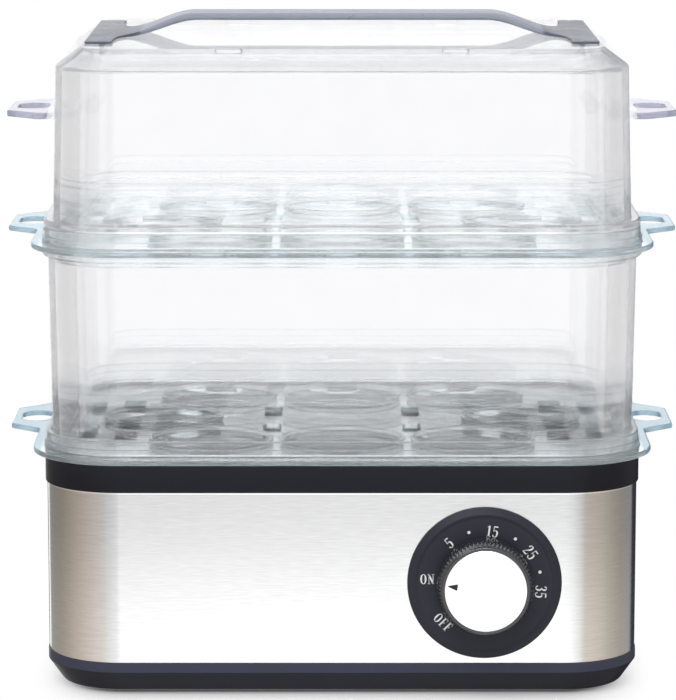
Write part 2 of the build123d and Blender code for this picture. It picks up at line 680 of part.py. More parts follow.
with BuildPart() as heating_element:
    with BuildLine() as heater_path:
        with BuildLine(Plane.XY.offset(ELEMENT_Z), mode=Mode.PRIVATE) as heater_ring:
            CenterArc((0, 0), ELEMENT_RING_RADIUS, 90 + ELEMENT_GAP_ANGLE, 360 - 2 * ELEMENT_GAP_ANGLE)
        add(heater_ring.line)
        right_foot = element_leg(heater_ring.line, -1)
        left_foot = element_leg(heater_ring.line, 1)
    with BuildSketch(Plane(origin=left_foot, z_dir=(0, 0, 1))) as heater_section:
        Circle(ELEMENT_RADIUS)
    sweep(heater_section.sketch, path=heater_path.line)
finish(heating_element, "heating_element")

ELEMENT_FEET = [(left_foot.X, left_foot.Y), (right_foot.X, right_foot.Y)]
ELEMENT_FOOT_Z = left_foot.Z
ELEMENT_PIN_Z = ELEMENT_FOOT_Z - INSULATOR_LENGTH - PIN_LENGTH

with BuildPart() as element_insulators:
    post(
        ELEMENT_RADIUS + INSULATOR_WALL,
        ELEMENT_FOOT_Z - INSULATOR_LENGTH,
        ELEMENT_FOOT_Z,
        ELEMENT_FEET,
    )
    post(
        PIN_RADIUS,
        ELEMENT_FOOT_Z - INSULATOR_LENGTH,
        ELEMENT_FOOT_Z,
        ELEMENT_FEET,
        Mode.SUBTRACT,
    )
finish(element_insulators, "element_insulators")

with BuildPart() as element_pins:
    post(PIN_RADIUS, ELEMENT_PIN_Z, ELEMENT_FOOT_Z, ELEMENT_FEET)
finish(element_pins, "element_pins")

THERMOSTAT_Z = PLATE_Z - THERMOSTAT_HEIGHT
THERMOSTAT_BLADE_Z = THERMOSTAT_Z - THERMOSTAT_BLADE_LENGTH

with BuildPart() as thermostat:
    post(THERMOSTAT_RADIUS, THERMOSTAT_Z, PLATE_Z, [(0, 0)])
    with BuildSketch(Plane.XY.offset(PLATE_Z - THERMOSTAT_PLATE)) as thermostat_ears:
        SlotOverall(2 * (THERMOSTAT_RADIUS + THERMOSTAT_EAR_REACH), THERMOSTAT_EAR_WIDTH)
    extrude(thermostat_ears.sketch, amount=THERMOSTAT_PLATE)
    post(
        SMALL_SCREW_RADIUS,
        PLATE_Z - THERMOSTAT_PLATE,
        PLATE_Z,
        THERMOSTAT_SCREWS,
        Mode.SUBTRACT,
    )
finish(thermostat, "thermostat")

with BuildPart() as thermostat_blades:
    for x in (-THERMOSTAT_BLADE_X, THERMOSTAT_BLADE_X):
        block(
            (x - BLADE_THICKNESS / 2, x + BLADE_THICKNESS / 2),
            (-BLADE_WIDTH / 2, BLADE_WIDTH / 2),
            (THERMOSTAT_BLADE_Z, THERMOSTAT_Z),
        )
finish(thermostat_blades, "thermostat_blades")

with BuildPart() as thermostat_screws:
    screws_up(
        THERMOSTAT_SCREWS,
        PLATE_Z - THERMOSTAT_PLATE,
        THERMOSTAT_SCREW_LENGTH,
        SMALL_SCREW_RADIUS,
        SMALL_HEAD_RADIUS,
        THERMOSTAT_HEAD_HEIGHT,
    )
finish(thermostat_screws, "thermostat_screws")

FUSE_Z = PLATE_Z - BRAZE_GAP - FUSE_RADIUS

with BuildPart() as thermal_fuse:
    with BuildSketch(Plane.YZ.offset(-FUSE_HALF_LENGTH)) as fuse_section:
        with Locations((FUSE_Y, FUSE_Z)):
            Circle(FUSE_RADIUS)
    extrude(fuse_section.sketch, amount=2 * FUSE_HALF_LENGTH)
finish(thermal_fuse, "thermal_fuse")

with BuildPart() as earth_stud:
    post(STUD_RADIUS, PLATE_Z - STUD_LENGTH, BLIND_HOLE_TOP, EARTH_STUD)
finish(earth_stud, "earth_stud")

with BuildPart() as earth_nut:
    # A flange nut, whose washer bears on the plate
    with BuildSketch(Plane.XY.offset(PLATE_Z - EARTH_WASHER - EARTH_NUT_HEIGHT)) as nut_plan:
        with Locations(*EARTH_STUD):
            RegularPolygon(EARTH_NUT_RADIUS, 6, major_radius=False)
    extrude(nut_plan.sketch, amount=EARTH_NUT_HEIGHT)
    post(EARTH_WASHER_RADIUS, PLATE_Z - EARTH_WASHER, PLATE_Z, EARTH_STUD)
    post(STUD_RADIUS, PLATE_Z - STUD_LENGTH, PLATE_Z, EARTH_STUD, Mode.SUBTRACT)
finish(earth_nut, "earth_nut")

# ------------------------------------------------------------------ dial and timer
TIMER_SCREW_SEAT_Y = DIAL_FACE_Y + TIMER_SCREW_SINK

with BuildPart() as dial_plate:
    # The flat face carries the numbers, inside a raised lip that slopes to the steel
    turned(
        [
            (0, STEEL_FACE_Y),
            (DIAL_RADIUS, STEEL_FACE_Y),
            (DIAL_RADIUS, STEEL_FACE_Y - DIAL_EDGE),
            (DIAL_FACE_RADIUS + DIAL_LIP[0], DIAL_FACE_Y - DIAL_LIP[1]),
            (DIAL_FACE_RADIUS, DIAL_FACE_Y),
            (0, DIAL_FACE_Y),
        ]
    )
    rod(DIAL_SPIGOT_RADIUS, FRONT_INNER_Y, STEEL_FACE_Y)
    rod(BUSH_RADIUS, FRONT_INNER_Y, DIAL_FACE_Y, mode=Mode.SUBTRACT)
    with BuildSketch(Plane.XZ) as dial_screw_holes:
        with Locations((DIAL_X - TIMER_SCREW_X, DIAL_Z), (DIAL_X + TIMER_SCREW_X, DIAL_Z)):
            Circle(SMALL_SCREW_RADIUS + SCREW_CLEARANCE)
    extrude(dial_screw_holes.sketch, amount=BODY_DEPTH, mode=Mode.SUBTRACT)
    with BuildSketch(Plane.XZ.offset(-TIMER_SCREW_SEAT_Y)) as dial_screw_seats:
        with Locations((DIAL_X - TIMER_SCREW_X, DIAL_Z), (DIAL_X + TIMER_SCREW_X, DIAL_Z)):
            Circle(SMALL_HEAD_RADIUS + SMALL_HEAD_CLEARANCE)
    extrude(dial_screw_seats.sketch, amount=2 * TIMER_SCREW_SINK, mode=Mode.SUBTRACT)
finish(dial_plate, "dial_plate")

with BuildPart() as timer_plate:
    with BuildSketch(Plane.XZ.offset(-TIMER_PLATE_Y)) as plate_face:
        with Locations((DIAL_X, DIAL_Z)):
            RectangleRounded(TIMER_PLATE_WIDTH, TIMER_PLATE_HEIGHT, TIMER_PLATE_CORNER)
    extrude(plate_face.sketch, amount=TIMER_PLATE_THICKNESS)
    rod(BUSH_RADIUS, TIMER_PLATE_Y, FRONT_INNER_Y - BUSH_LENGTH)
    rod(SHAFT_RADIUS + RUNNING_CLEARANCE, 0, -BODY_DEPTH, mode=Mode.SUBTRACT)
    rod(ARBOR_RADIUS + RUNNING_CLEARANCE, 0, -BODY_DEPTH, PINION_AXIS, Mode.SUBTRACT)
    with BuildSketch(Plane.XZ) as plate_screw_holes:
        with Locations((DIAL_X - TIMER_SCREW_X, DIAL_Z), (DIAL_X + TIMER_SCREW_X, DIAL_Z)):
            Circle(SMALL_SCREW_RADIUS)
    extrude(plate_screw_holes.sketch, amount=BODY_DEPTH, mode=Mode.SUBTRACT)
finish(timer_plate, "timer_plate")

with BuildPart() as timer_screws:
    for x in (DIAL_X - TIMER_SCREW_X, DIAL_X + TIMER_SCREW_X):
        screw_axis = Axis((x, 0, DIAL_Z), (0, 1, 0))
        rod(SMALL_SCREW_RADIUS, TIMER_PLATE_Y, TIMER_SCREW_SEAT_Y, screw_axis)
        head_y = TIMER_SCREW_SEAT_Y - TIMER_HEAD_HEIGHT
        rod(SMALL_HEAD_RADIUS, TIMER_SCREW_SEAT_Y, head_y, screw_axis)
finish(timer_screws, "timer_screws")

CASE_X = (DIAL_X - TIMER_CASE_WIDTH / 2, DIAL_X + TIMER_CASE_WIDTH / 2)
CASE_Z = (DIAL_Z - TIMER_CASE_HEIGHT / 2, DIAL_Z + TIMER_CASE_HEIGHT / 2)

with BuildPart() as timer_case:
    block(CASE_X, (TIMER_PLATE_Y, TIMER_BACK_Y), CASE_Z)
    block(
        (CASE_X[0] + TIMER_CASE_WALL, CASE_X[1] - TIMER_CASE_WALL),
        (TIMER_PLATE_Y, TIMER_BACK_Y - TIMER_CASE_WALL),
        (CASE_Z[0] + TIMER_CASE_WALL, CASE_Z[1] - TIMER_CASE_WALL),
        Mode.SUBTRACT,
    )
    rod(JOURNAL_RADIUS + RUNNING_CLEARANCE, 0, TIMER_PLATE_Y, mode=Mode.SUBTRACT)
    rod(ARBOR_RADIUS + RUNNING_CLEARANCE, 0, TIMER_PLATE_Y, PINION_AXIS, Mode.SUBTRACT)
finish(timer_case, "timer_case")

SPRING_FRONT_Y = TIMER_PLATE_Y + SPRING_FRONT_GAP
SPRING_INNER_RADIUS = SHAFT_RADIUS + SPRING_SHAFT_GAP


def spiral_points(start_radius):
    """Points on an evenly wound spiral about the timer's axis, eight to a turn."""
    points = []
    for step in range(8 * SPRING_TURNS + 1):
        radius = start_radius + SPRING_PITCH * step / 8
        angle = radians(45 * step)
        points.append((DIAL_X + radius * cos(angle), DIAL_Z + radius * sin(angle)))
    return points


with BuildPart() as mainspring:
    inner_points = spiral_points(SPRING_INNER_RADIUS)
    outer_points = spiral_points(SPRING_INNER_RADIUS + SPRING_STRIP)
    with BuildSketch(Plane.XZ.offset(-SPRING_FRONT_Y - SPRING_WIDTH)) as spring_strip:
        with BuildLine():
            Spline(*inner_points)
            Line(inner_points[-1], outer_points[-1])
            Spline(*outer_points)
            Line(inner_points[0], outer_points[0])
        make_face()
    extrude(spring_strip.sketch, amount=SPRING_WIDTH)
finish(mainspring, "mainspring")

with BuildPart() as timer_bell:
    bell_axis = Axis((DIAL_X, 0, DIAL_Z + BELL_RAISE), (0, 1, 0))
    mouth = TIMER_BACK_Y + BELL_STANDOFF
    back = mouth + BELL_DEPTH
    turned(
        [
            (0, TIMER_BACK_Y),
            (BELL_STEM_RADIUS, TIMER_BACK_Y),
            (BELL_STEM_RADIUS, back - BELL_WALL),
            (BELL_RADIUS - 2 * BELL_WALL, back - BELL_WALL),
            (BELL_RADIUS - BELL_WALL, back - 2 * BELL_WALL),
            (BELL_RADIUS - BELL_WALL, mouth),
            (BELL_RADIUS, mouth),
            (BELL_RADIUS, back - BELL_CHAMFER),
            (BELL_RADIUS - BELL_CHAMFER, back),
            (0, back),
        ],
        bell_axis,
    )
finish(timer_bell, "timer_bell")

BLADE_X = [DIAL_X - BLADE_PITCH / 2, DIAL_X + BLADE_PITCH / 2]
BLADE_END_Y = TIMER_BACK_Y + BLADE_LENGTH

with BuildPart() as timer_blades:
    for x in BLADE_X:
        block(
            (x - BLADE_WIDTH / 2, x + BLADE_WIDTH / 2),
            (TIMER_BACK_Y, BLADE_END_Y),
            (BLADE_Z - BLADE_THICKNESS / 2, BLADE_Z + BLADE_THICKNESS / 2),
        )
finish(timer_blades, "timer_blades")


def gear_tooth(teeth):
    """Half outline of an involute tooth, as (radius, angle) pairs from root to tip."""
    pressure = radians(GEAR_PRESSURE_ANGLE)
    pitch_radius = GEAR_MODULE * teeth / 2
    base_radius = pitch_radius * cos(pressure)
    tip_radius = pitch_radius + GEAR_MODULE
    root_radius = pitch_radius - GEAR_DEDENDUM * GEAR_MODULE
    half_tooth = pi / (2 * teeth) - GEAR_BACKLASH / (2 * pitch_radius)
    at_base = half_tooth + tan(pressure) - pressure
    start = max(base_radius, root_radius)
    flank = [(root_radius, at_base)] if base_radius > root_radius else []
    for step in range(6):
        radius = start + (tip_radius - start) * step / 5
        roll = (max(radius**2 / base_radius**2 - 1, 0)) ** 0.5
        flank.append((radius, at_base - roll + atan2(roll, 1)))
    return flank


def gear(teeth, axis, back_y, thickness, first_angle):
    """Adds a spur gear about a front-to-back axis, one tooth centred on first_angle."""
    flank = gear_tooth(teeth)
    centre_x, centre_z = axis.position.X, axis.position.Z
    points = []
    for tooth in range(teeth):
        middle = radians(first_angle) + 2 * pi * tooth / teeth
        rising = [(radius, middle - angle) for radius, angle in flank]
        falling = [(radius, middle + angle) for radius, angle in reversed(flank)]
        for radius, angle in rising + falling:
            points.append((centre_x + radius * cos(angle), centre_z + radius * sin(angle)))
    with BuildSketch(Plane.XZ.offset(-back_y)) as gear_face:
        with BuildLine():
            Polyline(*points, close=True)
        make_face()
    extrude(gear_face.sketch, amount=thickness)


SHAFT_SHOULDER_Y = TIMER_BACK_Y - TIMER_CASE_WALL - SHAFT_END_PLAY

with BuildPart() as timer_shaft:
    rod(SHAFT_RADIUS, SHAFT_SHOULDER_Y, KNOB_FRONT_Y + SHAFT_END_DEPTH)
    rod(JOURNAL_RADIUS, TIMER_BACK_Y, SHAFT_SHOULDER_Y)
    # The knob end has a flat, so that the knob turns the shaft
    block(
        (DIAL_X - SHAFT_RADIUS, DIAL_X + SHAFT_RADIUS),
        (KNOB_FRONT_Y, KNOB_BACK_Y),
        (DIAL_Z + SHAFT_FLAT, DIAL_Z + SHAFT_RADIUS),
        Mode.SUBTRACT,
    )
finish(timer_shaft, "timer_shaft")

with BuildPart() as main_wheel:
    gear(MAIN_WHEEL_TEETH, TIMER_AXIS, WHEEL_BACK_Y, WHEEL_THICKNESS, 0)
    rod(SHAFT_RADIUS, 0, -BODY_DEPTH, mode=Mode.SUBTRACT)
finish(main_wheel, "main_wheel")

# The pinion stands to the right of the main wheel, with a gap facing the wheel's tooth
PINION_FIRST_ANGLE = 180 + 180 / PINION_TEETH

with BuildPart() as escape_pinion:
    gear(PINION_TEETH, PINION_AXIS, WHEEL_BACK_Y, WHEEL_THICKNESS, PINION_FIRST_ANGLE)
    rod(ARBOR_RADIUS, TIMER_BACK_Y, FRONT_INNER_Y + ARBOR_END_PLAY, PINION_AXIS)
finish(escape_pinion, "escape_pinion")

with BuildPart() as escape_wheel:
    with BuildSketch(Plane.XZ.offset(-WHEEL_BACK_Y - ESCAPE_STANDOFF)) as escape_face:
        with Locations((DIAL_X + GEAR_DISTANCE, DIAL_Z)):
            Circle(ESCAPE_RADIUS - ESCAPE_RIM)
            base, flank = ESCAPE_TOOTH
            with PolarLocations(ESCAPE_RADIUS - ESCAPE_TOOTH_ROOT, ESCAPE_TEETH):
                Triangle(a=base, b=flank, c=flank, rotation=-90)
            Circle(ARBOR_RADIUS, mode=Mode.SUBTRACT)
    extrude(escape_face.sketch, amount=ESCAPE_THICKNESS)
finish(escape_wheel, "escape_wheel")

with BuildPart() as knob_grip:
    turned(
        [
            (0, KNOB_BACK_Y),
            (KNOB_RADIUS, KNOB_BACK_Y),
            (KNOB_RADIUS, KNOB_BACK_Y - KNOB_SKIRT),
            (KNOB_FACE_RADIUS, KNOB_FRONT_Y),
            (0, KNOB_FRONT_Y),
        ]
    )
    with BuildSketch(Plane.XZ.offset(-KNOB_BACK_Y)) as flutes:
        with Locations((DIAL_X, DIAL_Z)):
            with PolarLocations(KNOB_RADIUS + KNOB_FLUTE_OUT, KNOB_FLUTES):
                Circle(KNOB_FLUTE_RADIUS)
    extrude(flutes.sketch, amount=KNOB_LENGTH, mode=Mode.SUBTRACT)
    # Hollow behind the grip, around the hub
    turned(
        [
            (KNOB_HUB_RADIUS, KNOB_BACK_Y),
            (KNOB_FACE_RADIUS - KNOB_SKIRT_WALL, KNOB_BACK_Y),
            (KNOB_FACE_RADIUS - KNOB_SKIRT_WALL, KNOB_FRONT_Y + KNOB_FRONT_WALL),
            (KNOB_HUB_RADIUS, KNOB_FRONT_Y + KNOB_FRONT_WALL),
        ],
        mode=Mode.SUBTRACT,
    )
    add(timer_shaft.part, mode=Mode.SUBTRACT)
    rod(KNOB_CAP_RADIUS, KNOB_FRONT_Y + KNOB_CAP_THICKNESS, KNOB_FRONT_Y, mode=Mode.SUBTRACT)
finish(knob_grip, "knob_grip")


POINTER_TIP = KNOB_CAP_RADIUS - POINTER_MARGIN
POINTER_HEEL = POINTER_TIP - POINTER_LENGTH
POINTER_CORNERS = [
    (POINTER_TIP, 0),
    (POINTER_HEEL, POINTER_WIDTH / 2),
    (POINTER_HEEL, -POINTER_WIDTH / 2),
]


def pointer_wedge(mode=Mode.ADD):
    """Adds the pointer inlay, turned to where it points at rest."""
    turn = radians(POINTER_ANGLE)
    corners = []
    for along, across in POINTER_CORNERS:
        x = DIAL_X + along * cos(turn) - across * sin(turn)
        z = DIAL_Z + along * sin(turn) + across * cos(turn)
        corners.append((x, z))
    with BuildSketch(Plane.XZ.offset(-KNOB_FRONT_Y - KNOB_CAP_THICKNESS / 2)) as wedge:
        with BuildLine():
            Polyline(*corners, close=True)
        make_face()
    extrude(wedge.sketch, amount=KNOB_CAP_THICKNESS / 2, mode=mode)


with BuildPart() as knob_cap:
    rod(KNOB_CAP_RADIUS, KNOB_FRONT_Y + KNOB_CAP_THICKNESS, KNOB_FRONT_Y)
    pointer_wedge(Mode.SUBTRACT)
finish(knob_cap, "knob_cap")

with BuildPart() as knob_pointer:
    pointer_wedge()
finish(knob_pointer, "knob_pointer")

# ------------------------------------------------------------------ mains entry and wires
with BuildPart() as cord_gland:
    gland_axis = Axis((GLAND_X, 0, GLAND_Z), (0, 1, 0))
    gland_end_y = REAR_INNER_Y - GLAND_NUT_LENGTH - GLAND_THREAD_PROUD
    rod(GLAND_BODY_RADIUS, REAR_FACE_Y, gland_end_y, gland_axis)
    rod(GLAND_FLANGE_RADIUS, REAR_FACE_Y + GLAND_FLANGE, REAR_FACE_Y, gland_axis)
    rod(GLAND_BORE_RADIUS, BODY_DEPTH, 0, gland_axis, Mode.SUBTRACT)
finish(cord_gland, "cord_gland")

with BuildPart() as gland_nut:
    with BuildSketch(Plane.XZ.offset(-REAR_INNER_Y)) as nut_face:
        with Locations((GLAND_X, GLAND_Z)):
            RegularPolygon(GLAND_NUT_RADIUS, 6)
            Circle(GLAND_BODY_RADIUS, mode=Mode.SUBTRACT)
    extrude(nut_face.sketch, amount=GLAND_NUT_LENGTH)
finish(gland_nut, "gland_nut")

BLOCK_TOP = BLOCK_Z + BLOCK_HEIGHT
BLOCK_FRONT_Y = BLOCK_Y - BLOCK_DEPTH / 2
BLOCK_POLES = [BLOCK_X + BLOCK_PITCH * place for place in (-1, 0, 1)]
POLE_PLACES = [(x, BLOCK_Y) for x in BLOCK_POLES]
WIRE_Z = BLOCK_Z + BLOCK_HEIGHT / 2

with BuildPart() as terminal_block:
    block(
        (BLOCK_X - BLOCK_WIDTH / 2, BLOCK_X + BLOCK_WIDTH / 2),
        (BLOCK_FRONT_Y, BLOCK_Y + BLOCK_DEPTH / 2),
        (BLOCK_Z, BLOCK_TOP),
    )
    post(POLE_RADIUS, BLOCK_TOP - POLE_DEPTH, BLOCK_TOP, POLE_PLACES, Mode.SUBTRACT)
finish(terminal_block, "terminal_block")

POLE_SCREW_TOP = BLOCK_TOP - POLE_SCREW_SINK

with BuildPart() as terminal_screws:
    pole_screw_radius = POLE_RADIUS - POLE_SCREW_CLEARANCE
    post(pole_screw_radius, BLOCK_TOP - POLE_DEPTH, POLE_SCREW_TOP, POLE_PLACES)
    with BuildSketch(Plane.XY.offset(POLE_SCREW_TOP)) as pole_slots:
        with Locations(*POLE_PLACES):
            Rectangle(2 * POLE_RADIUS, POLE_SLOT_WIDTH)
    extrude(pole_slots.sketch, amount=-POLE_SLOT_DEPTH, mode=Mode.SUBTRACT)
finish(terminal_screws, "terminal_screws")


def bend_radii(points):
    """Radius of each bend of a wire, as large as its shorter run allows."""
    radii = []
    for before, corner, after in zip(points, points[1:], points[2:]):
        run_in = Vector(corner) - Vector(before)
        run_out = Vector(after) - Vector(corner)
        half_turn = radians(run_in.get_angle(run_out)) / 2
        shorter = min(run_in.length, run_out.length)
        radii.append(WIRE_BEND_SHARE * shorter / tan(half_turn))
    return radii


def run_wire(points, name):
    """Makes one insulated wire of straight runs and tangent bends."""
    with BuildPart() as wire:
        with BuildLine() as route:
            FilletPolyline(*points, radius=bend_radii(points))
        with BuildSketch(Plane(origin=route.line @ 0, z_dir=route.line % 0)) as section:
            Circle(WIRE_RADIUS)
        sweep(section.sketch, path=route.line)
    finish(wire, name)


LIVE_X, EARTH_X, NEUTRAL_X = BLOCK_POLES
WIRE_LAYER_Z = BLADE_Z

run_wire(
    [
        (LIVE_X, BLOCK_FRONT_Y, WIRE_Z),
        (LIVE_X, BLOCK_FRONT_Y - 14, WIRE_Z),
        (LIVE_X + 4, 8, WIRE_Z + 4),
        (-44, -16, WIRE_LAYER_Z - 6),
        (-14, -30, WIRE_LAYER_Z - 4),
        (20, -29, WIRE_LAYER_Z - 1),
        (BLADE_X[0], BLADE_END_Y + 14, WIRE_LAYER_Z),
        (BLADE_X[0], BLADE_END_Y, WIRE_LAYER_Z),
    ],
    "live_wire",
)
run_wire(
    [
        (BLADE_X[1], BLADE_END_Y, WIRE_LAYER_Z),
        (BLADE_X[1], BLADE_END_Y + 13, WIRE_LAYER_Z),
        (44, -13, WIRE_LAYER_Z - 2),
        (24, -3, WIRE_LAYER_Z - 4),
        (THERMOSTAT_BLADE_X, 0, WIRE_LAYER_Z - 2),
        (THERMOSTAT_BLADE_X, 0, THERMOSTAT_BLADE_Z),
    ],
    "switched_wire",
)
run_wire(
    [
        (-THERMOSTAT_BLADE_X, 0, THERMOSTAT_BLADE_Z),
        (-THERMOSTAT_BLADE_X, 0, WIRE_LAYER_Z - 2),
        (-16, 9, WIRE_LAYER_Z - 3),
        (-23, 19, WIRE_LAYER_Z + 6),
        (-23, FUSE_Y, FUSE_Z - 6),
        (-19, FUSE_Y, FUSE_Z),
        (-FUSE_HALF_LENGTH, FUSE_Y, FUSE_Z),
    ],
    "fuse_wire",
)
run_wire(
    [
        (FUSE_HALF_LENGTH, FUSE_Y, FUSE_Z),
        (FUSE_HALF_LENGTH + 8, FUSE_Y, FUSE_Z),
        (22, 20, FUSE_Z - 8),
        (22, 20, WIRE_LAYER_Z - 6),
        (right_foot.X, right_foot.Y, WIRE_LAYER_Z - 7),
        (right_foot.X, right_foot.Y, ELEMENT_PIN_Z),
    ],
    "element_wire",
)
run_wire(
    [
        (left_foot.X, left_foot.Y, ELEMENT_PIN_Z),
        (left_foot.X, left_foot.Y, WIRE_Z + 9),
        (-30, 26, WIRE_Z + 3),
        (NEUTRAL_X + 2, 23, WIRE_Z),
        (NEUTRAL_X, 32, WIRE_Z),
        (NEUTRAL_X, BLOCK_FRONT_Y, WIRE_Z),
    ],
    "neutral_wire",
)
run_wire(
    [
        (EARTH_X, BLOCK_FRONT_Y, WIRE_Z),
        (EARTH_X, BLOCK_FRONT_Y - 12, WIRE_Z),
        (-50, 13, WIRE_Z + 5),
        (-36, -5, WIRE_LAYER_Z),
        (EARTH_STUD_X, EARTH_STUD_Y, WIRE_LAYER_Z + 4),
        (EARTH_STUD_X, EARTH_STUD_Y, PLATE_Z - STUD_LENGTH),
    ],
    "earth_wire",
)


# ------------------------------------------------------------------ trays
def make_tray(base, name):
    """Makes one egg tray, whose flange lies at the given height."""
    shelf = base + TRAY_FLANGE
    floor_top = shelf - FLOOR_DROP
    floor_bottom = floor_top - TRAY_FLANGE
    floor_inset = SPIGOT_INNER + FLOOR_SLOPE
    with BuildPart() as tray:
        slab(-TRAY_FLANGE_OVERHANG, base, shelf)
        tabs(BODY_WIDTH / 2, base, shelf, TAB_REACH)
        band(RIM_INSET, RIM_INNER, shelf, shelf + RIM_HEIGHT)
        # A narrow ledge runs round the outside of the rim
        band(RIM_INSET - RIM_STEP_WIDTH, RIM_INNER, shelf, shelf + RIM_STEP)
        band(SPIGOT_INSET, SPIGOT_INNER, base - SPIGOT_DEPTH, base)
        slab(SPIGOT_INSET, floor_bottom, base)
        tapered(floor_inset, floor_top, SPIGOT_INNER, shelf, Mode.SUBTRACT)
        # Steam slots: beside the walls, between the seats, and in front and behind
        with BuildSketch(Plane.XY.offset(floor_bottom)) as steam_slots:
            side_x = BODY_WIDTH / 2 - floor_inset - SIDE_SLOT_EDGE
            with GridLocations(2 * side_x, 2 * SIDE_SLOT_Y, 2, 2):
                Rectangle(*SIDE_SLOT)
            with GridLocations(2 * CORNER_SLOT_X, 2 * CORNER_SLOT_Y, 2, 2):
                Rectangle(*CORNER_SLOT)
            with GridLocations(2 * MIDDLE_SLOT_X, 2 * MIDDLE_SLOT_Y, 2, 2):
                Rectangle(*MIDDLE_SLOT)
            end_y = BODY_DEPTH / 2 - floor_inset - END_SLOT_EDGE
            with GridLocations(SEAT_PITCH_X, 2 * end_y, 3, 2):
                Rectangle(*END_SLOT)
        extrude(steam_slots.sketch, amount=floor_top - floor_bottom, mode=Mode.SUBTRACT)
        # Raised funnel seats around the egg holes
        seat_bottom = base - SEAT_DROP
        seat_height = floor_top + SEAT_RISE - seat_bottom
        with Locations(*[(x, y, seat_bottom) for x, y in SEATS]):
            Cone(
                SEAT_LOW_RADIUS + SEAT_WALL,
                SEAT_HIGH_RADIUS + SEAT_WALL,
                seat_height,
                align=(Align.CENTER, Align.CENTER, Align.MIN),
            )
            Cone(
                SEAT_LOW_RADIUS,
                SEAT_HIGH_RADIUS,
                seat_height,
                align=(Align.CENTER, Align.CENTER, Align.MIN),
                mode=Mode.SUBTRACT,
            )
        tab_holes(base, shelf, TAB_REACH)
    finish(tray, name)


make_tray(LOWER_TRAY_Z, "lower_tray")
make_tray(UPPER_TRAY_Z, "upper_tray")

# ------------------------------------------------------------------ tier wall and lid
with BuildPart() as tier_wall:
    tapered(TIER_LOW_INSET, TIER_Z, TIER_HIGH_INSET, TIER_TOP)
    slab(TIER_BEAD_INSET, TIER_TOP - TIER_BEAD_HEIGHT, TIER_TOP)
    tapered(
        TIER_LOW_INSET + TIER_THICKNESS,
        TIER_Z,
        TIER_HIGH_INSET + TIER_THICKNESS,
        TIER_TOP,
        Mode.SUBTRACT,
    )
finish(tier_wall, "tier_wall")

CHAMFER_ANGLE = atan2(LID_CHAMFER_HEIGHT, LID_CHAMFER_WIDTH)
INNER_FOLD_DROP = LID_THICKNESS * tan((pi / 2 - CHAMFER_ANGLE) / 2)
INNER_TOP_INSET = LID_TOP_INSET + LID_THICKNESS * tan(CHAMFER_ANGLE / 2)
LID_TAB_Z = LID_Z + LID_TAB_HEIGHT
HANDLE_HOOKS = [
    ((HANDLE_PAD_INNER + HANDLE_HALF_LENGTH) / 2 * x, HOOK_Y * y) for x in (-1, 1) for y in (-1, 1)
]

with BuildPart() as lid_shell:
    tapered(LID_LOW_INSET, LID_Z, LID_HIGH_INSET, LID_FOLD_Z)
    tapered(LID_HIGH_INSET, LID_FOLD_Z, LID_TOP_INSET, LID_TOP)
    slab(LID_BEAD_INSET, LID_BEAD_Z, LID_BEAD_Z + LID_BEAD_HEIGHT)
    lid_tab_root = BODY_WIDTH / 2 - LID_HIGH_INSET - LID_TAB_ROOT
    tabs(lid_tab_root, LID_TAB_Z, LID_TAB_Z + LID_TAB_THICKNESS, LID_TAB_REACH)
    inner_low = LID_LOW_INSET + LID_THICKNESS
    inner_high = LID_HIGH_INSET + LID_THICKNESS
    inner_fold = LID_FOLD_Z - INNER_FOLD_DROP
    tapered(inner_low, LID_Z, inner_high, inner_fold, Mode.SUBTRACT)
    tapered(inner_high, inner_fold, INNER_TOP_INSET, LID_TOP - LID_THICKNESS, Mode.SUBTRACT)
    tab_holes(LID_TAB_Z, LID_TAB_Z + LID_TAB_THICKNESS, LID_TAB_REACH)
    # Steam vents near the front and back edges of the top, and slots for the hooks
    with BuildSketch(Plane.XY.offset(LID_TOP - LID_THICKNESS)) as lid_slots:
        with GridLocations(2 * VENT_X, 2 * (BODY_DEPTH / 2 - LID_TOP_INSET - VENT_EDGE), 2, 2):
            SlotOverall(VENT_LENGTH, VENT_WIDTH)
        with Locations(*HANDLE_HOOKS):
            Rectangle(HOOK_THICKNESS + 2 * HOOK_CLEARANCE, HOOK_LENGTH + 2 * HOOK_CLEARANCE)
    extrude(lid_slots.sketch, amount=LID_THICKNESS, mode=Mode.SUBTRACT)
finish(lid_shell, "lid_shell")

STRAP_TOP = LID_TOP + HANDLE_RISE
STRAP_BOTTOM = STRAP_TOP - HANDLE_THICKNESS
PAD_TOP = LID_TOP + HANDLE_PAD_THICKNESS
RAMP_MIDDLE = (HANDLE_FLAT_HALF + HANDLE_PAD_INNER) / 2
RAMP_Z = LID_TOP + HANDLE_RAMP_RISE
RAMP_FOOT_X = HANDLE_PAD_INNER - HANDLE_RAMP_SETBACK
PAD_EDGE_X = HANDLE_PAD_INNER + HANDLE_PAD_LIP

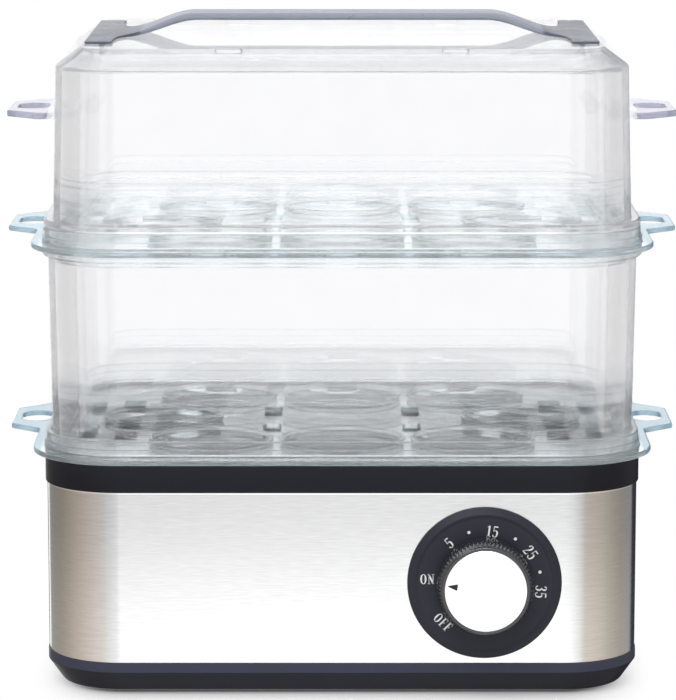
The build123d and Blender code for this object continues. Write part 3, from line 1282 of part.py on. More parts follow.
with BuildPart() as lid_handle:
    # Side profile: a flat strap that comes down to a thin pad at each end
    with BuildSketch(Plane.XZ.offset(-HANDLE_PAD_HALF_DEPTH)) as strap_profile:
        with BuildLine():
            top = Spline(
                (HANDLE_FLAT_HALF, STRAP_TOP),
                (RAMP_MIDDLE, RAMP_Z),
                (HANDLE_PAD_INNER, PAD_TOP),
                tangents=[(1, 0), (1, 0)],
            )
            Line(top @ 1, (HANDLE_HALF_LENGTH, PAD_TOP))
            Line((HANDLE_HALF_LENGTH, PAD_TOP), (HANDLE_HALF_LENGTH, LID_TOP))
            Line((HANDLE_HALF_LENGTH, LID_TOP), (RAMP_FOOT_X, LID_TOP))
            Spline(
                (RAMP_FOOT_X, LID_TOP),
                (RAMP_MIDDLE - HANDLE_RAMP_SETBACK, RAMP_Z - HANDLE_RAMP_THICKNESS),
                (HANDLE_FLAT_HALF, STRAP_BOTTOM),
                tangents=[(-1, 0.3), (-1, 0)],
            )
            Line((HANDLE_FLAT_HALF, STRAP_BOTTOM), (0, STRAP_BOTTOM))
            Line((0, STRAP_BOTTOM), (0, STRAP_TOP))
            Line((0, STRAP_TOP), (HANDLE_FLAT_HALF, STRAP_TOP))
        make_face()
    extrude(strap_profile.sketch, amount=2 * HANDLE_PAD_HALF_DEPTH)
    # Plan: a narrow waist that flares to the full width of the pads
    with BuildSketch(Plane.XY.offset(LID_TOP)) as strap_plan:
        with BuildLine():
            Line((0, -HANDLE_WAIST_HALF), (HANDLE_FLAT_HALF, -HANDLE_WAIST_HALF))
            Spline(
                (HANDLE_FLAT_HALF, -HANDLE_WAIST_HALF),
                (RAMP_MIDDLE + HANDLE_FLARE[0], -(HANDLE_WAIST_HALF + HANDLE_FLARE[1])),
                (HANDLE_PAD_INNER - HANDLE_NECK_SETBACK, -HANDLE_NECK_HALF),
                (PAD_EDGE_X, -(HANDLE_NECK_HALF + HANDLE_PAD_HALF_DEPTH) / 2),
                (PAD_EDGE_X, -HANDLE_PAD_HALF_DEPTH),
                tangents=[(1, 0), (0, -1)],
            )
            pad_corner = (HANDLE_HALF_LENGTH, -HANDLE_PAD_HALF_DEPTH)
            Line((PAD_EDGE_X, -HANDLE_PAD_HALF_DEPTH), pad_corner)
            Line(pad_corner, (HANDLE_HALF_LENGTH, 0))
            Line((HANDLE_HALF_LENGTH, 0), (0, 0))
            Line((0, 0), (0, -HANDLE_WAIST_HALF))
        make_face()
        mirror(about=Plane.XZ)
    extrude(strap_plan.sketch, amount=HANDLE_RISE, mode=Mode.INTERSECT)
    mirror(about=Plane.YZ)
    # Hooks that pass through the lid and catch under it
    for x, y in HANDLE_HOOKS:
        inward = -1 if x > 0 else 1
        length = (y - HOOK_LENGTH / 2, y + HOOK_LENGTH / 2)
        leg = (x - HOOK_THICKNESS / 2, x + HOOK_THICKNESS / 2)
        barb = sorted((x, x + inward * (HOOK_THICKNESS / 2 + HOOK_BARB)))
        under_lid = LID_TOP - LID_THICKNESS - HOOK_CLEARANCE
        block(leg, length, (under_lid - HOOK_THICKNESS, LID_TOP))
        block(barb, length, (under_lid - HOOK_THICKNESS, under_lid))
finish(lid_handle, "lid_handle")
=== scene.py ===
"""Looks of a two-tier countertop egg cooker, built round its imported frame.

Every object is in metres in the frame's own axes: +Z is up, -Y is the front with the dial and +X is to
the right of someone who faces the front. Sizes inside the classes are millimetres, and become metres
when a surface is made a mesh.
"""

import sys

import logging
from collections.abc import Iterable, Mapping, Sequence
from dataclasses import dataclass
from enum import Enum
from math import atan2, ceil, cos, pi, radians, sin, tan
from typing import Any

import bpy
import numpy as np
from mathutils import Matrix, Vector
from mathutils.geometry import delaunay_2d_cdt


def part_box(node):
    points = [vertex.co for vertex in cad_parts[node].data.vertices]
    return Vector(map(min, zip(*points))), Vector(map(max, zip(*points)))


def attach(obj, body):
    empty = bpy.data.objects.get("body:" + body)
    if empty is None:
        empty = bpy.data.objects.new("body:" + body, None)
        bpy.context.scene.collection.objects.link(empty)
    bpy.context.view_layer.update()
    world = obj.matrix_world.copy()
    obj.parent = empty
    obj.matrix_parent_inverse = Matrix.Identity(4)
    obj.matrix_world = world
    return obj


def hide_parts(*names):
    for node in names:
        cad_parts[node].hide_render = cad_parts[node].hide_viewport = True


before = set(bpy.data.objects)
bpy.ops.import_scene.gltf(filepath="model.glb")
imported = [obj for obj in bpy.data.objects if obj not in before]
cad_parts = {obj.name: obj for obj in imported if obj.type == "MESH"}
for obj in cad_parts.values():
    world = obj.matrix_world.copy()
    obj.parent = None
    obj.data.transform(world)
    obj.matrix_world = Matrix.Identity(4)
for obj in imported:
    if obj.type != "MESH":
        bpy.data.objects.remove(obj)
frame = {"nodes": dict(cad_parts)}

logging.basicConfig(level=logging.INFO, format="%(message)s", stream=sys.stdout)
log = logging.getLogger("egg_cooker")

Array = np.ndarray
Piece = bpy.types.Object
Pair = tuple[float, float]
Triple = tuple[float, float, float]
Quad = tuple[float, float, float, float]
Colour = Triple
Sockets = Mapping[str | int, Any]

MM = 0.001
WELD = 1e-4
SAME = 1e-7
TINY = 1e-12
WHITE = (1.0, 1.0, 1.0)


# ---- lines and surfaces
@dataclass
class Path:
    """A line of flat points, each with the one direction that its surface faces.

    The outside is on the right of the direction of travel, so a closed outline that faces outwards runs
    anticlockwise, and a section runs up its outer side and down its inner.
    """

    points: Array
    facing: Array

    def reversed(self) -> "Path":
        """The same line run backwards, which faces the other way."""
        return Path(self.points[::-1], -self.facing[::-1])

    def moved(self, x: float, y: float) -> "Path":
        """The same line carried to another place."""
        return Path(self.points + (x, y), self.facing)

    def flipped(self, x: float, y: float) -> "Path":
        """The same line with its axes' signs multiplied, run so that it still faces outwards."""
        return Path((self.points * (x, y))[::-1], (self.facing * (x, y))[::-1])

    def part(self, start: int, end: int | None) -> "Path":
        """The points from one place in the line up to another."""
        return Path(self.points[start:end], self.facing[start:end])


def joined(*paths: Path, near: float = 1e-6, alike: float = 1e-3) -> Path:
    """Runs lines one after another, less the points that repeat the one before them.

    Args:
        paths: The lines.
        near: How close two places are that count as one.
        alike: How close two directions are that count as one.

    Returns:
        The whole line.
    """
    points = np.concatenate([path.points for path in paths])
    facing = np.concatenate([path.facing for path in paths])
    step = np.linalg.norm(np.diff(points, axis=0), axis=1)
    swing = np.linalg.norm(np.diff(facing, axis=0), axis=1)
    kept = np.concatenate([[True], (step > near) | (swing > alike)])
    return Path(points[kept], facing[kept])


def filleted(
    corners: Sequence[Sequence[float]], radius: float = 0.0, closed: bool = False, quarter: int = 6
) -> Path:
    """Runs along a polygon and rounds its corners.

    A corner that turns by t becomes an arc that starts radius * tan(t / 2) before it. The arc's points
    face along its radius and turn evenly from the first run's right-hand side to the next one's. A
    corner of no radius keeps two points, one for each run, and the ends of an open line aren't rounded.

    Args:
        corners: The polygon's corners in order, as (x, y) or (x, y, radius).
        radius: The radius of the corners that state none.
        closed: Whether the last corner joins the first.
        quarter: Steps in a quarter turn.

    Returns:
        The rounded line.
    """
    spots = np.array([corner[:2] for corner in corners], float)
    sizes = [corner[2] if len(corner) > 2 else radius for corner in corners]
    runs = np.roll(spots, -1, 0) - spots
    runs /= np.maximum(np.linalg.norm(runs, axis=1), TINY)[:, None]
    arcs = []
    for i, (spot, size) in enumerate(zip(spots, sizes)):
        if not closed and i in (0, len(spots) - 1):
            run = runs[0] if i == 0 else runs[-2]
            arcs.append(Path(spot[None], np.array([[run[1], -run[0]]])))
            continue
        before, after = runs[i - 1], runs[i]
        turn = atan2(before[0] * after[1] - before[1] * after[0], float(before @ after))
        side = np.array([before[1], -before[0]])
        steps = max(1, ceil(abs(turn) / (pi / 2) * quarter)) if size > 0 else 1
        angles = np.linspace(0, turn, steps + 1)
        faces = np.stack([np.cos(angles), np.sin(angles)], 1) * side[0]
        faces += np.stack([-np.sin(angles), np.cos(angles)], 1) * side[1]
        reach = np.sign(turn) * size
        centre = spot - before * size * tan(abs(turn) / 2) - side * reach
        arcs.append(Path(centre + faces * reach, faces))
    return joined(*arcs, near=SAME, alike=SAME)


def rounded_rectangle(half_x: float, half_y: float, corner: float, quarter: int = 8) -> Path:
    """An anticlockwise rectangle round the origin with equal round corners."""
    corners = [(half_x, -half_y), (half_x, half_y), (-half_x, half_y), (-half_x, -half_y)]
    return filleted(corners, corner, closed=True, quarter=quarter)


def circle(x: float, y: float, steps: int = 72, radius: float = 0.0) -> Path:
    """A circle about a place.

    Args:
        x: The middle's first number.
        y: The middle's second number.
        steps: Points round the circle.
        radius: Its radius. Without one, the offsets of a section carried round are radii.

    Returns:
        The circle, anticlockwise.
    """
    turn = np.arange(steps) * 2 * pi / steps
    facing = np.stack([np.cos(turn), np.sin(turn)], 1)
    return Path(np.array((x, y), float) + radius * facing, facing)


def curved(spots: Sequence[Pair], first: float, last: float, steps: int) -> Path:
    """A smooth line through places, facing to the right of its travel.

    Each run between two places is a cubic whose slope at a place points from the place before to the
    place after, and whose ends leave and arrive at the given angles.

    Args:
        spots: The places, in order.
        first: Direction at the first place, in radians from the first axis.
        last: Direction at the last place.
        steps: Steps in each run.

    Returns:
        The line.
    """
    places = np.asarray(spots, float)
    lengths = np.linalg.norm(np.diff(places, axis=0), axis=1)
    slopes = np.zeros_like(places)
    slopes[1:-1] = (places[2:] - places[:-2]) / (lengths[1:] + lengths[:-1])[:, None]
    slopes[0], slopes[-1] = (cos(first), sin(first)), (cos(last), sin(last))
    share = np.linspace(0, 1, steps + 1)[None, :, None]
    here, there = places[:-1, None], places[1:, None]
    leave = slopes[:-1, None] * lengths[:, None, None]
    arrive = slopes[1:, None] * lengths[:, None, None]
    square, cube = share**2, share**3
    line = (
        here * (2 * cube - 3 * square + 1)
        + leave * (cube - 2 * square + share)
        + there * (3 * square - 2 * cube)
        + arrive * (cube - square)
    )
    speed = (
        (there - here) * (6 * share - 6 * square)
        + leave * (3 * square - 4 * share + 1)
        + arrive * (3 * square - 2 * share)
    )
    points = np.concatenate([line[:, :-1].reshape(-1, 2), line[-1, -1:]])
    ahead = np.concatenate([speed[:, :-1].reshape(-1, 2), speed[-1, -1:]])
    ahead /= np.linalg.norm(ahead, axis=1)[:, None]
    return Path(points, np.stack([ahead[:, 1], -ahead[:, 0]], 1))


def spun(points: Array, degrees: float) -> Array:
    """Flat points turned about the origin, anticlockwise."""
    c, s = cos(radians(degrees)), sin(radians(degrees))
    return points @ np.array([[c, -s], [s, c]]).T


def carried(points: Array, place: Matrix) -> Array:
    """Carries points by a placement."""
    matrix = np.array(place)
    return points @ matrix[:3, :3].T + matrix[:3, 3]


def turned(directions: Array, place: Matrix) -> Array:
    """Turns directions by a placement."""
    return directions @ np.array(place)[:3, :3].T


def front_axis(x: float, z: float) -> Matrix:
    """A placement whose height runs out of the front, about an axis at x and z."""
    return Matrix(((1, 0, 0, x), (0, 0, -1, 0), (0, 1, 0, z), (0, 0, 0, 1)))


def placed(name: str, data: bpy.types.ID) -> Piece:
    """Makes an object of its data and puts it in the scene.

    Args:
        name: The object's name.
        data: Its mesh, camera or lamp.

    Returns:
        The object, at the origin.
    """
    piece = bpy.data.objects.new(name, data)
    bpy.context.scene.collection.objects.link(piece)
    return piece


class Skin:
    """Gathers patches of surface, in millimetres, and joins them into one mesh."""

    def __init__(self) -> None:
        """Starts with no patches."""
        self._points: list[Array] = []
        self._facing: list[Array] = []
        self._faces: list[Array] = []
        self._count = 0

    def patch(self, points: Array, facing: Array, faces: Array) -> None:
        """Adds points, the unit direction at each, and faces that index them.

        Args:
            points: Places, n by 3.
            facing: Unit directions, n by 3.
            faces: Corners of the faces, m by 3 or m by 4, anticlockwise from outside.
        """
        self._points.append(points)
        self._facing.append(facing)
        self._faces.append(faces + self._count)
        self._count += len(points)

    def grid(
        self, points: Array, facing: Array, wrap: bool, omit: Iterable[tuple[int, int]] = ()
    ) -> None:
        """Adds the cells of a grid of points.

        Args:
            points: Rows by columns by 3. Columns run anticlockwise and rows run up.
            facing: Directions, of the same shape.
            wrap: Whether the last column joins the first.
            omit: Cells, as (row, column), that are left open.
        """
        rows, columns = points.shape[:2]
        index = np.arange(rows * columns).reshape(rows, columns)
        right = np.roll(index, -1, 1)
        cells = np.stack([index[:-1], right[:-1], right[1:], index[1:]], 2)
        keep = np.ones(cells.shape[:2], bool)
        keep[:, -1] = wrap
        for row, column in omit:
            keep[row, column] = False
        self.patch(points.reshape(-1, 3), facing.reshape(-1, 3), cells[keep])

    def sweep(
        self, outline: Path, section: Path, wrap: bool = True, loop: bool = False,
        place: Matrix | None = None, omit: Iterable[tuple[int, int]] = (),
    ) -> Array:
        """Carries a section round an outline.

        A point is the outline's point, moved along its facing by the section's first number, at the
        height of the section's second. It faces along the same mix.

        Args:
            outline: The line from above.
            section: Points as (outwards, up).
            wrap: Whether the outline closes on itself.
            loop: Whether the section closes on itself.
            place: Where the surface goes. It stays upright if this is left out.
            omit: Cells, as (row, column), that are left open.

        Returns:
            The grid of points, rows by columns by 3.
        """
        if loop:
            section = Path(
                np.concatenate([section.points, section.points[:1]]),
                np.concatenate([section.facing, section.facing[:1]]),
            )
        offset, height = section.points[:, 0], section.points[:, 1]
        out, up = section.facing[:, 0], section.facing[:, 1]
        flat = outline.points[None] + offset[:, None, None] * outline.facing[None]
        levels = np.broadcast_to(height[:, None, None], (*flat.shape[:2], 1))
        points = np.concatenate([flat, levels], 2)
        tilt = np.broadcast_to(up[:, None, None], levels.shape)
        facing = np.concatenate([out[:, None, None] * outline.facing[None], tilt], 2)
        if place is not None:
            points, facing = carried(points, place), turned(facing, place)
        self.grid(points, facing, wrap, omit)
        return points

    def fill(self, facing: Sequence[float], *loops: Array) -> None:
        """Fills a flat outline, less the loops inside it, with triangles.

        A triangle is kept if a line from its middle crosses the loops an odd number of times, and
        turned over if it runs clockwise.

        Args:
            facing: The unit direction of the flat.
            loops: Closed lines of places, n by 3 each. Nested lines are holes.
        """
        normal = np.asarray(facing, float)
        upright = abs(normal[2]) < 0.9
        side = np.cross(normal, (0.0, 0.0, 1.0) if upright else (0.0, 1.0, 0.0))
        side /= np.linalg.norm(side)
        points = np.concatenate(loops)
        flat = np.stack([points @ side, points @ np.cross(normal, side)], 1)
        starts = np.cumsum([0] + [len(loop) for loop in loops])
        spans = zip(starts[:-1], starts[1:])
        first = np.arange(len(points))
        second = np.concatenate([np.roll(first[start:end], -1) for start, end in spans])
        edges = np.stack([first, second], 1)
        spots = [Vector(spot) for spot in flat.tolist()]
        found = delaunay_2d_cdt(spots, edges.tolist(), [], 0, SAME, True)
        source = np.array([ids[0] for ids in found[3]])
        triangles = source[np.array(found[2])]
        middle = flat[triangles].mean(1)
        low, high = flat[first], flat[second]
        crossed = (low[None, :, 1] > middle[:, 1:]) != (high[None, :, 1] > middle[:, 1:])
        rise = np.where(high[:, 1] == low[:, 1], TINY, high[:, 1] - low[:, 1])
        across = low[:, 0] + (middle[:, 1:] - low[:, 1]) / rise * (high - low)[:, 0]
        triangles = triangles[(crossed & (middle[:, :1] < across)).sum(1) % 2 == 1]
        one, two = (flat[triangles[:, k]] - flat[triangles[:, 0]] for k in (1, 2))
        backwards = one[:, 0] * two[:, 1] - one[:, 1] * two[:, 0] < 0
        triangles[backwards] = triangles[backwards][:, ::-1]
        self.patch(points, np.tile(normal, (len(points), 1)), triangles)

    def close(self, facing: Triple, rows: Sequence[Array], *holes: Sequence[Array]) -> None:
        """Fills the two flats between the edges of a plate and its holes.

        Args:
            facing: The direction of the upper flat.
            rows: Loops from the plate's lower edge to its upper one.
            holes: The same for each hole, of which the first and the last loop count.
        """
        self.fill(facing, rows[-1], *(hole[-1] for hole in holes))
        self.fill([-part for part in facing], rows[0], *(hole[0] for hole in holes))

    def mesh(self, name: str) -> Piece:
        """Joins the patches where they meet and makes the object.

        Args:
            name: The piece's name.

        Returns:
            The object, at the origin, with its place in its mesh.
        """
        points, facing = np.concatenate(self._points), np.concatenate(self._facing)
        keys = np.round(points / WELD).astype(np.int64)
        _, first, where = np.unique(keys, axis=0, return_index=True, return_inverse=True)
        where = where.reshape(-1)
        groups = [group for faces in self._faces for group in closed_up(faces, where)]
        faces = [group for group in groups if len(group)]
        sizes = np.concatenate([np.full(len(group), group.shape[1]) for group in faces])
        used = np.concatenate([group.reshape(-1) for group in faces])
        mesh = bpy.data.meshes.new(name)
        mesh.vertices.add(len(first))
        mesh.vertices.foreach_set("co", (points[first] * MM).astype(np.float32).ravel())
        mesh.loops.add(len(used))
        mesh.loops.foreach_set("vertex_index", where[used].astype(np.int32))
        mesh.polygons.add(len(sizes))
        starts = np.concatenate([[0], np.cumsum(sizes)[:-1]])
        mesh.polygons.foreach_set("loop_start", starts.astype(np.int32))
        mesh.update(calc_edges=True)
        mesh.normals_split_custom_set(facing[used].tolist())
        return placed(name, mesh)


def closed_up(faces: Array, where: Array) -> list[Array]:
    """Turns cells that have shrunk at a pole or a seam into triangles, or drops them.

    Args:
        faces: Corners of the faces, m by 3 or m by 4.
        where: The joined vertex of each point.

    Returns:
        The faces that still have an area, grouped by their number of corners.
    """
    corners = where[faces]
    shrunk = corners == np.roll(corners, -1, 1)
    whole = faces[~shrunk.any(1)]
    if faces.shape[1] == 3:
        return [whole]
    once = shrunk.sum(1) == 1
    return [whole, faces[once][~shrunk[once]].reshape(-1, 3)]


def cut_slot(
    skin: Skin, outline: Path, low: float, high: float, edge: float, place: Matrix | None = None
) -> Array:
    """Adds the wall of a hole through a flat plate, with eased edges.

    Args:
        skin: The surface that it joins.
        outline: The hole's own outline, anticlockwise.
        low: The plate's underside.
        high: The plate's top.
        edge: The radius of the eased edges.
        place: Where the plate lies. It is level if this is left out.

    Returns:
        The hole's loops in the underside and in the top, one grid row each.
    """
    section = filleted([(-edge, low), (0, low), (0, high), (-edge, high)], edge, quarter=2)
    return skin.sweep(outline.reversed(), section, place=place)[[0, -1]]


# ---- shader building
class Signal:
    """A shader socket that does arithmetic: an expression on it adds its Math nodes."""

    def __init__(self, graph: "Graph", socket: bpy.types.NodeSocket) -> None:
        """Wraps an output socket of a graph."""
        self.graph = graph
        self.socket = socket

    def math(self, operation: str, other: "Signal | float" = 0.0) -> "Signal":
        """What a Math node makes of this and another."""
        return self.graph.math(operation, self, other)

    def __add__(self, other: "Signal | float") -> "Signal":
        """This plus another."""
        return self.math("ADD", other)

    def __radd__(self, other: float) -> "Signal":
        """A number plus this."""
        return self.graph.math("ADD", other, self)

    def __sub__(self, other: "Signal | float") -> "Signal":
        """This less another."""
        return self.math("SUBTRACT", other)

    def __rsub__(self, other: float) -> "Signal":
        """A number less this."""
        return self.graph.math("SUBTRACT", other, self)

    def __mul__(self, other: "Signal | float") -> "Signal":
        """This times another."""
        return self.math("MULTIPLY", other)

    def __rmul__(self, other: float) -> "Signal":
        """A number times this."""
        return self.graph.math("MULTIPLY", other, self)


class Outputs:
    """The output sockets of a node, by name."""

    def __init__(self, graph: "Graph", node: bpy.types.Node) -> None:
        """Wraps a node of a graph."""
        self.graph = graph
        self.node = node

    def __getitem__(self, name: str | int) -> Signal:
        """One output as a signal."""
        return Signal(self.graph, self.node.outputs[name])


class Graph:
    """A node tree that is being written."""

    def __init__(self, owner: bpy.types.Material | bpy.types.World) -> None:
        """Empties the owner's node tree and starts writing it.

        Args:
            owner: The material or the world.
        """
        owner.use_nodes = True
        self.tree = owner.node_tree
        self.tree.nodes.clear()

    def node(
        self, kind: str, settings: Mapping[str, Any] | None = None, sockets: Sockets | None = None
    ) -> Outputs:
        """Adds a node.

        Args:
            kind: The node's type, less the ShaderNode that they all start with.
            settings: Its own properties, which are set first.
            sockets: A value or a signal for each input named.

        Returns:
            The node's outputs.
        """
        node = self.tree.nodes.new("ShaderNode" + kind)
        for name, value in (settings or {}).items():
            setattr(node, name, value)
        for name, value in (sockets or {}).items():
            if isinstance(value, Signal):
                self.tree.links.new(value.socket, node.inputs[name])
            else:
                node.inputs[name].default_value = value
        return Outputs(self, node)

    def math(self, operation: str, first: Any, second: Any) -> Signal:
        """The value of a Math node."""
        sockets = {0: first, 1: second}
        return self.node("Math", {"operation": operation}, sockets)["Value"]

    def vector(self, operation: str, sockets: Sockets) -> Signal:
        """The vector of a Vector Math node, or a colour that it works on."""
        return self.node("VectorMath", {"operation": operation}, sockets)["Vector"]

    def place(self, scale: Sequence[float] = (1.0, 1.0, 1.0)) -> Signal:
        """The point on the object, in metres, stretched along each axis."""
        where = self.node("TexCoord")["Object"]
        return self.node("Mapping", {}, {"Vector": where, "Scale": scale})["Vector"]

    def axis(self, where: Signal, name: str) -> Signal:
        """One number of a point."""
        return self.node("SeparateXYZ", {}, {0: where})[name]

    def noise(self, where: Signal, scale: float, detail: float = 2.0, rough: float = 0.5) -> Signal:
        """Cloudy noise from 0 to 1, with a mean of about a half."""
        sockets = {"Vector": where, "Scale": scale, "Detail": detail, "Roughness": rough}
        return self.node("TexNoise", {"noise_dimensions": "3D"}, sockets)["Fac"]

    def smooth(
        self, value: Signal, start: float, end: float, low: float = 0.0, high: float = 1.0
    ) -> Signal:
        """A number that eases from one value to another as the input goes between two."""
        sockets = {0: value, 1: start, 2: end, 3: low, 4: high}
        return self.node("MapRange", {"interpolation_type": "SMOOTHSTEP"}, sockets)[0]

    def blended(self, amount: Signal, low: Any, high: Any) -> Signal:
        """A colour between two, mixed by a number from 0 to 1."""
        return self.node("Mix", {"data_type": "RGBA"}, {0: amount, 6: low, 7: high})[2]

    def varied(self, amount: Signal, colour: Colour, low: float, high: float) -> Signal:
        """A colour that goes from darker to lighter with a number from 0 to 1."""
        return self.blended(amount, scaled(colour, low), scaled(colour, high))

    def bump(self, height: Signal, distance: float) -> Signal:
        """The normal of a surface raised by a height, up to a distance in metres."""
        sockets = {"Height": height, "Distance": distance, "Strength": 1.0}
        return self.node("Bump", {}, sockets)["Normal"]

    def principled(self, sockets: Sockets) -> Signal:
        """A surface with the given inputs."""
        return self.node("BsdfPrincipled", {}, sockets)["BSDF"]

    def mixed(self, amount: Signal, first: Signal, second: Signal) -> Signal:
        """A surface that is partly one and partly another."""
        return self.node("MixShader", {}, {0: amount, 1: first, 2: second})["Shader"]

    def finish(self, shader: Signal, **volume: Signal) -> None:
        """Ends a material with its surface, and its volume if it has one."""
        self.node("OutputMaterial", {}, {"Surface": shader, **volume})


def scaled(colour: Colour, share: float) -> tuple[float, ...]:
    """A colour made lighter or darker, within what a surface can have, and its alpha."""
    return (*(min(1.0, channel * share) for channel in colour), 1.0)


# ---- finishes
class Finish:
    """What a material is made from."""

    def material(self, name: str) -> bpy.types.Material:
        """Makes the material of this finish.

        Args:
            name: The material's name.

        Returns:
            The material.
        """
        material = bpy.data.materials.new(name)
        self.write(Graph(material))
        return material

    def write(self, graph: Graph) -> None:
        """Writes the material's nodes, which each kind of finish does in its own way."""
        raise NotImplementedError


@dataclass(frozen=True)
class Moulded(Finish):
    """Opaque plastic or rubber, with a fine spark-eroded grain and faint clouding."""

    colour: Colour  # Base colour
    roughness: float = 0.45  # Mean roughness
    grain: float = 0.35  # Width of one pit of the grain
    depth: float = 0.012  # Depth of the grain
    clouding: float = 0.12  # Share by which colour and roughness drift over the piece
    specular: float = 0.5  # Specular level
    # Two heights, and how much lighter the colour is painted between them, as a painted reflection of a
    # light, and below them
    band: Quad = (0.0, 0.0, 0.0, 0.0)
    clouds: float = 28.0  # Clouds per metre

    def write(self, graph: Graph) -> None:
        """Writes the plastic's nodes.

        Args:
            graph: The material's nodes.
        """
        where = graph.place()
        cloud = graph.noise(where, self.clouds, 3.0)
        pits = graph.noise(where, 1.0 / (self.grain * MM), 1.0)
        tone = graph.varied(cloud, self.colour, 1 - self.clouding, 1 + self.clouding)
        start, end, within, below = self.band
        # The band between the two heights is painted lighter as a painted reflection of a light; below it
        # the colour is lighter by a smaller share
        if within:
            height = graph.axis(where, "Z")
            above = height.math("GREATER_THAN", start * MM)
            under = height.math("LESS_THAN", end * MM)
            lift = under * (above * (within - below) + below) + 1.0
            tone = graph.vector("SCALE", {0: tone, "Scale": lift})
        sockets = {
            "Base Color": tone,
            "Roughness": (cloud - 0.5) * (self.clouding * 0.8) + self.roughness,
            "Specular IOR Level": self.specular,
            "Normal": graph.bump(pits, self.depth * MM),
        }
        graph.finish(graph.principled(sockets))


@dataclass(frozen=True)
class Brushed(Finish):
    """Sheet metal brushed along its length, which spreads a highlight up and down."""

    colour: Colour  # Base colour
    roughness: float = 0.23  # Mean roughness
    stretch: Triple = (170.0, 170.0, 3600.0)  # Scale of the brush marks along X, Y and Z, per metre
    spread: float = 0.93  # Anisotropy
    turn: float = 0.25  # Turn of the anisotropy, as a share of a whole turn
    marks: float = 0.16  # Share by which the brush marks change the roughness
    fade: Triple = (0.0, 1.0, 1.0)  # Two heights, and how dark the colour is painted at the upper one, as painted shade towards the top
    rim: float = 1000.0  # Height above which the painted shade stops, leaving a painted highlight line along the sheet's top edge
    # Scale of the longer marks, and their share of the colour
    long_marks: tuple[Triple, float] = ((14.0, 14.0, 900.0), 0.15)
    tones: Pair = (0.76, 1.16)  # How dark and how light the marks make the colour
    clouds: Pair = (14.0, 0.06)  # Clouds per metre, and how much they change the roughness
    groove: float = 0.004  # Depth of the brush marks

    def write(self, graph: Graph) -> None:
        """Writes the metal's nodes.

        Args:
            graph: The material's nodes.
        """
        long_stretch, long_share = self.long_marks
        clouds, clouding = self.clouds
        streaks = graph.noise(graph.place(self.stretch), 1.0, 3.0, 0.6)
        cloud = graph.noise(graph.place(), clouds)
        long_marks = graph.noise(graph.place(long_stretch), 1.0)
        # Painted shade: the colour darkens from one height to the other, and above the rim the edge is
        # painted light again as a painted highlight line
        start, end, dark = self.fade
        height = graph.axis(graph.place(), "Z")
        shade = graph.smooth(height, start * MM, end * MM, 1.0, dark)
        shade = shade.math("MAXIMUM", height.math("GREATER_THAN", self.rim * MM))
        amount = streaks * (1.0 - long_share) + long_marks * long_share
        tone = graph.varied(amount, self.colour, *self.tones)
        uneven = (streaks - 0.5) * self.marks + (cloud - 0.5) * clouding
        sockets = {
            "Base Color": graph.vector("SCALE", {0: tone, "Scale": shade}),
            "Metallic": 1.0,
            "Roughness": uneven + self.roughness,
            "Anisotropic": self.spread,
            "Anisotropic Rotation": self.turn,
            "Normal": graph.bump(streaks, self.groove * MM),
        }
        graph.finish(graph.principled(sockets))


@dataclass(frozen=True)
class BareMetal(Finish):
    """Plated, cast or turned metal, with faint mottling and fine pits."""

    colour: Colour  # Base colour
    roughness: float = 0.3  # Mean roughness
    mottle: float = 3.0  # Width of the mottling
    pit: float = 0.01  # Depth of the pits
    uneven: float = 0.12  # Share by which the mottling darkens and lightens the colour
    dulling: float = 0.2  # How much the mottling changes the roughness
    pits: float = 1800.0  # Pits per metre

    def write(self, graph: Graph) -> None:
        """Writes the metal's nodes.

        Args:
            graph: The material's nodes.
        """
        where = graph.place()
        patches = graph.noise(where, 1.0 / (self.mottle * MM), 4.0, 0.6)
        pits = graph.noise(where, self.pits, 1.0)
        sockets = {
            "Base Color": graph.varied(patches, self.colour, 1 - self.uneven, 1 + self.uneven),
            "Metallic": 1.0,
            "Roughness": (patches - 0.5) * self.dulling + self.roughness,
            "Normal": graph.bump(pits, self.pit * MM),
        }
        graph.finish(graph.principled(sockets))


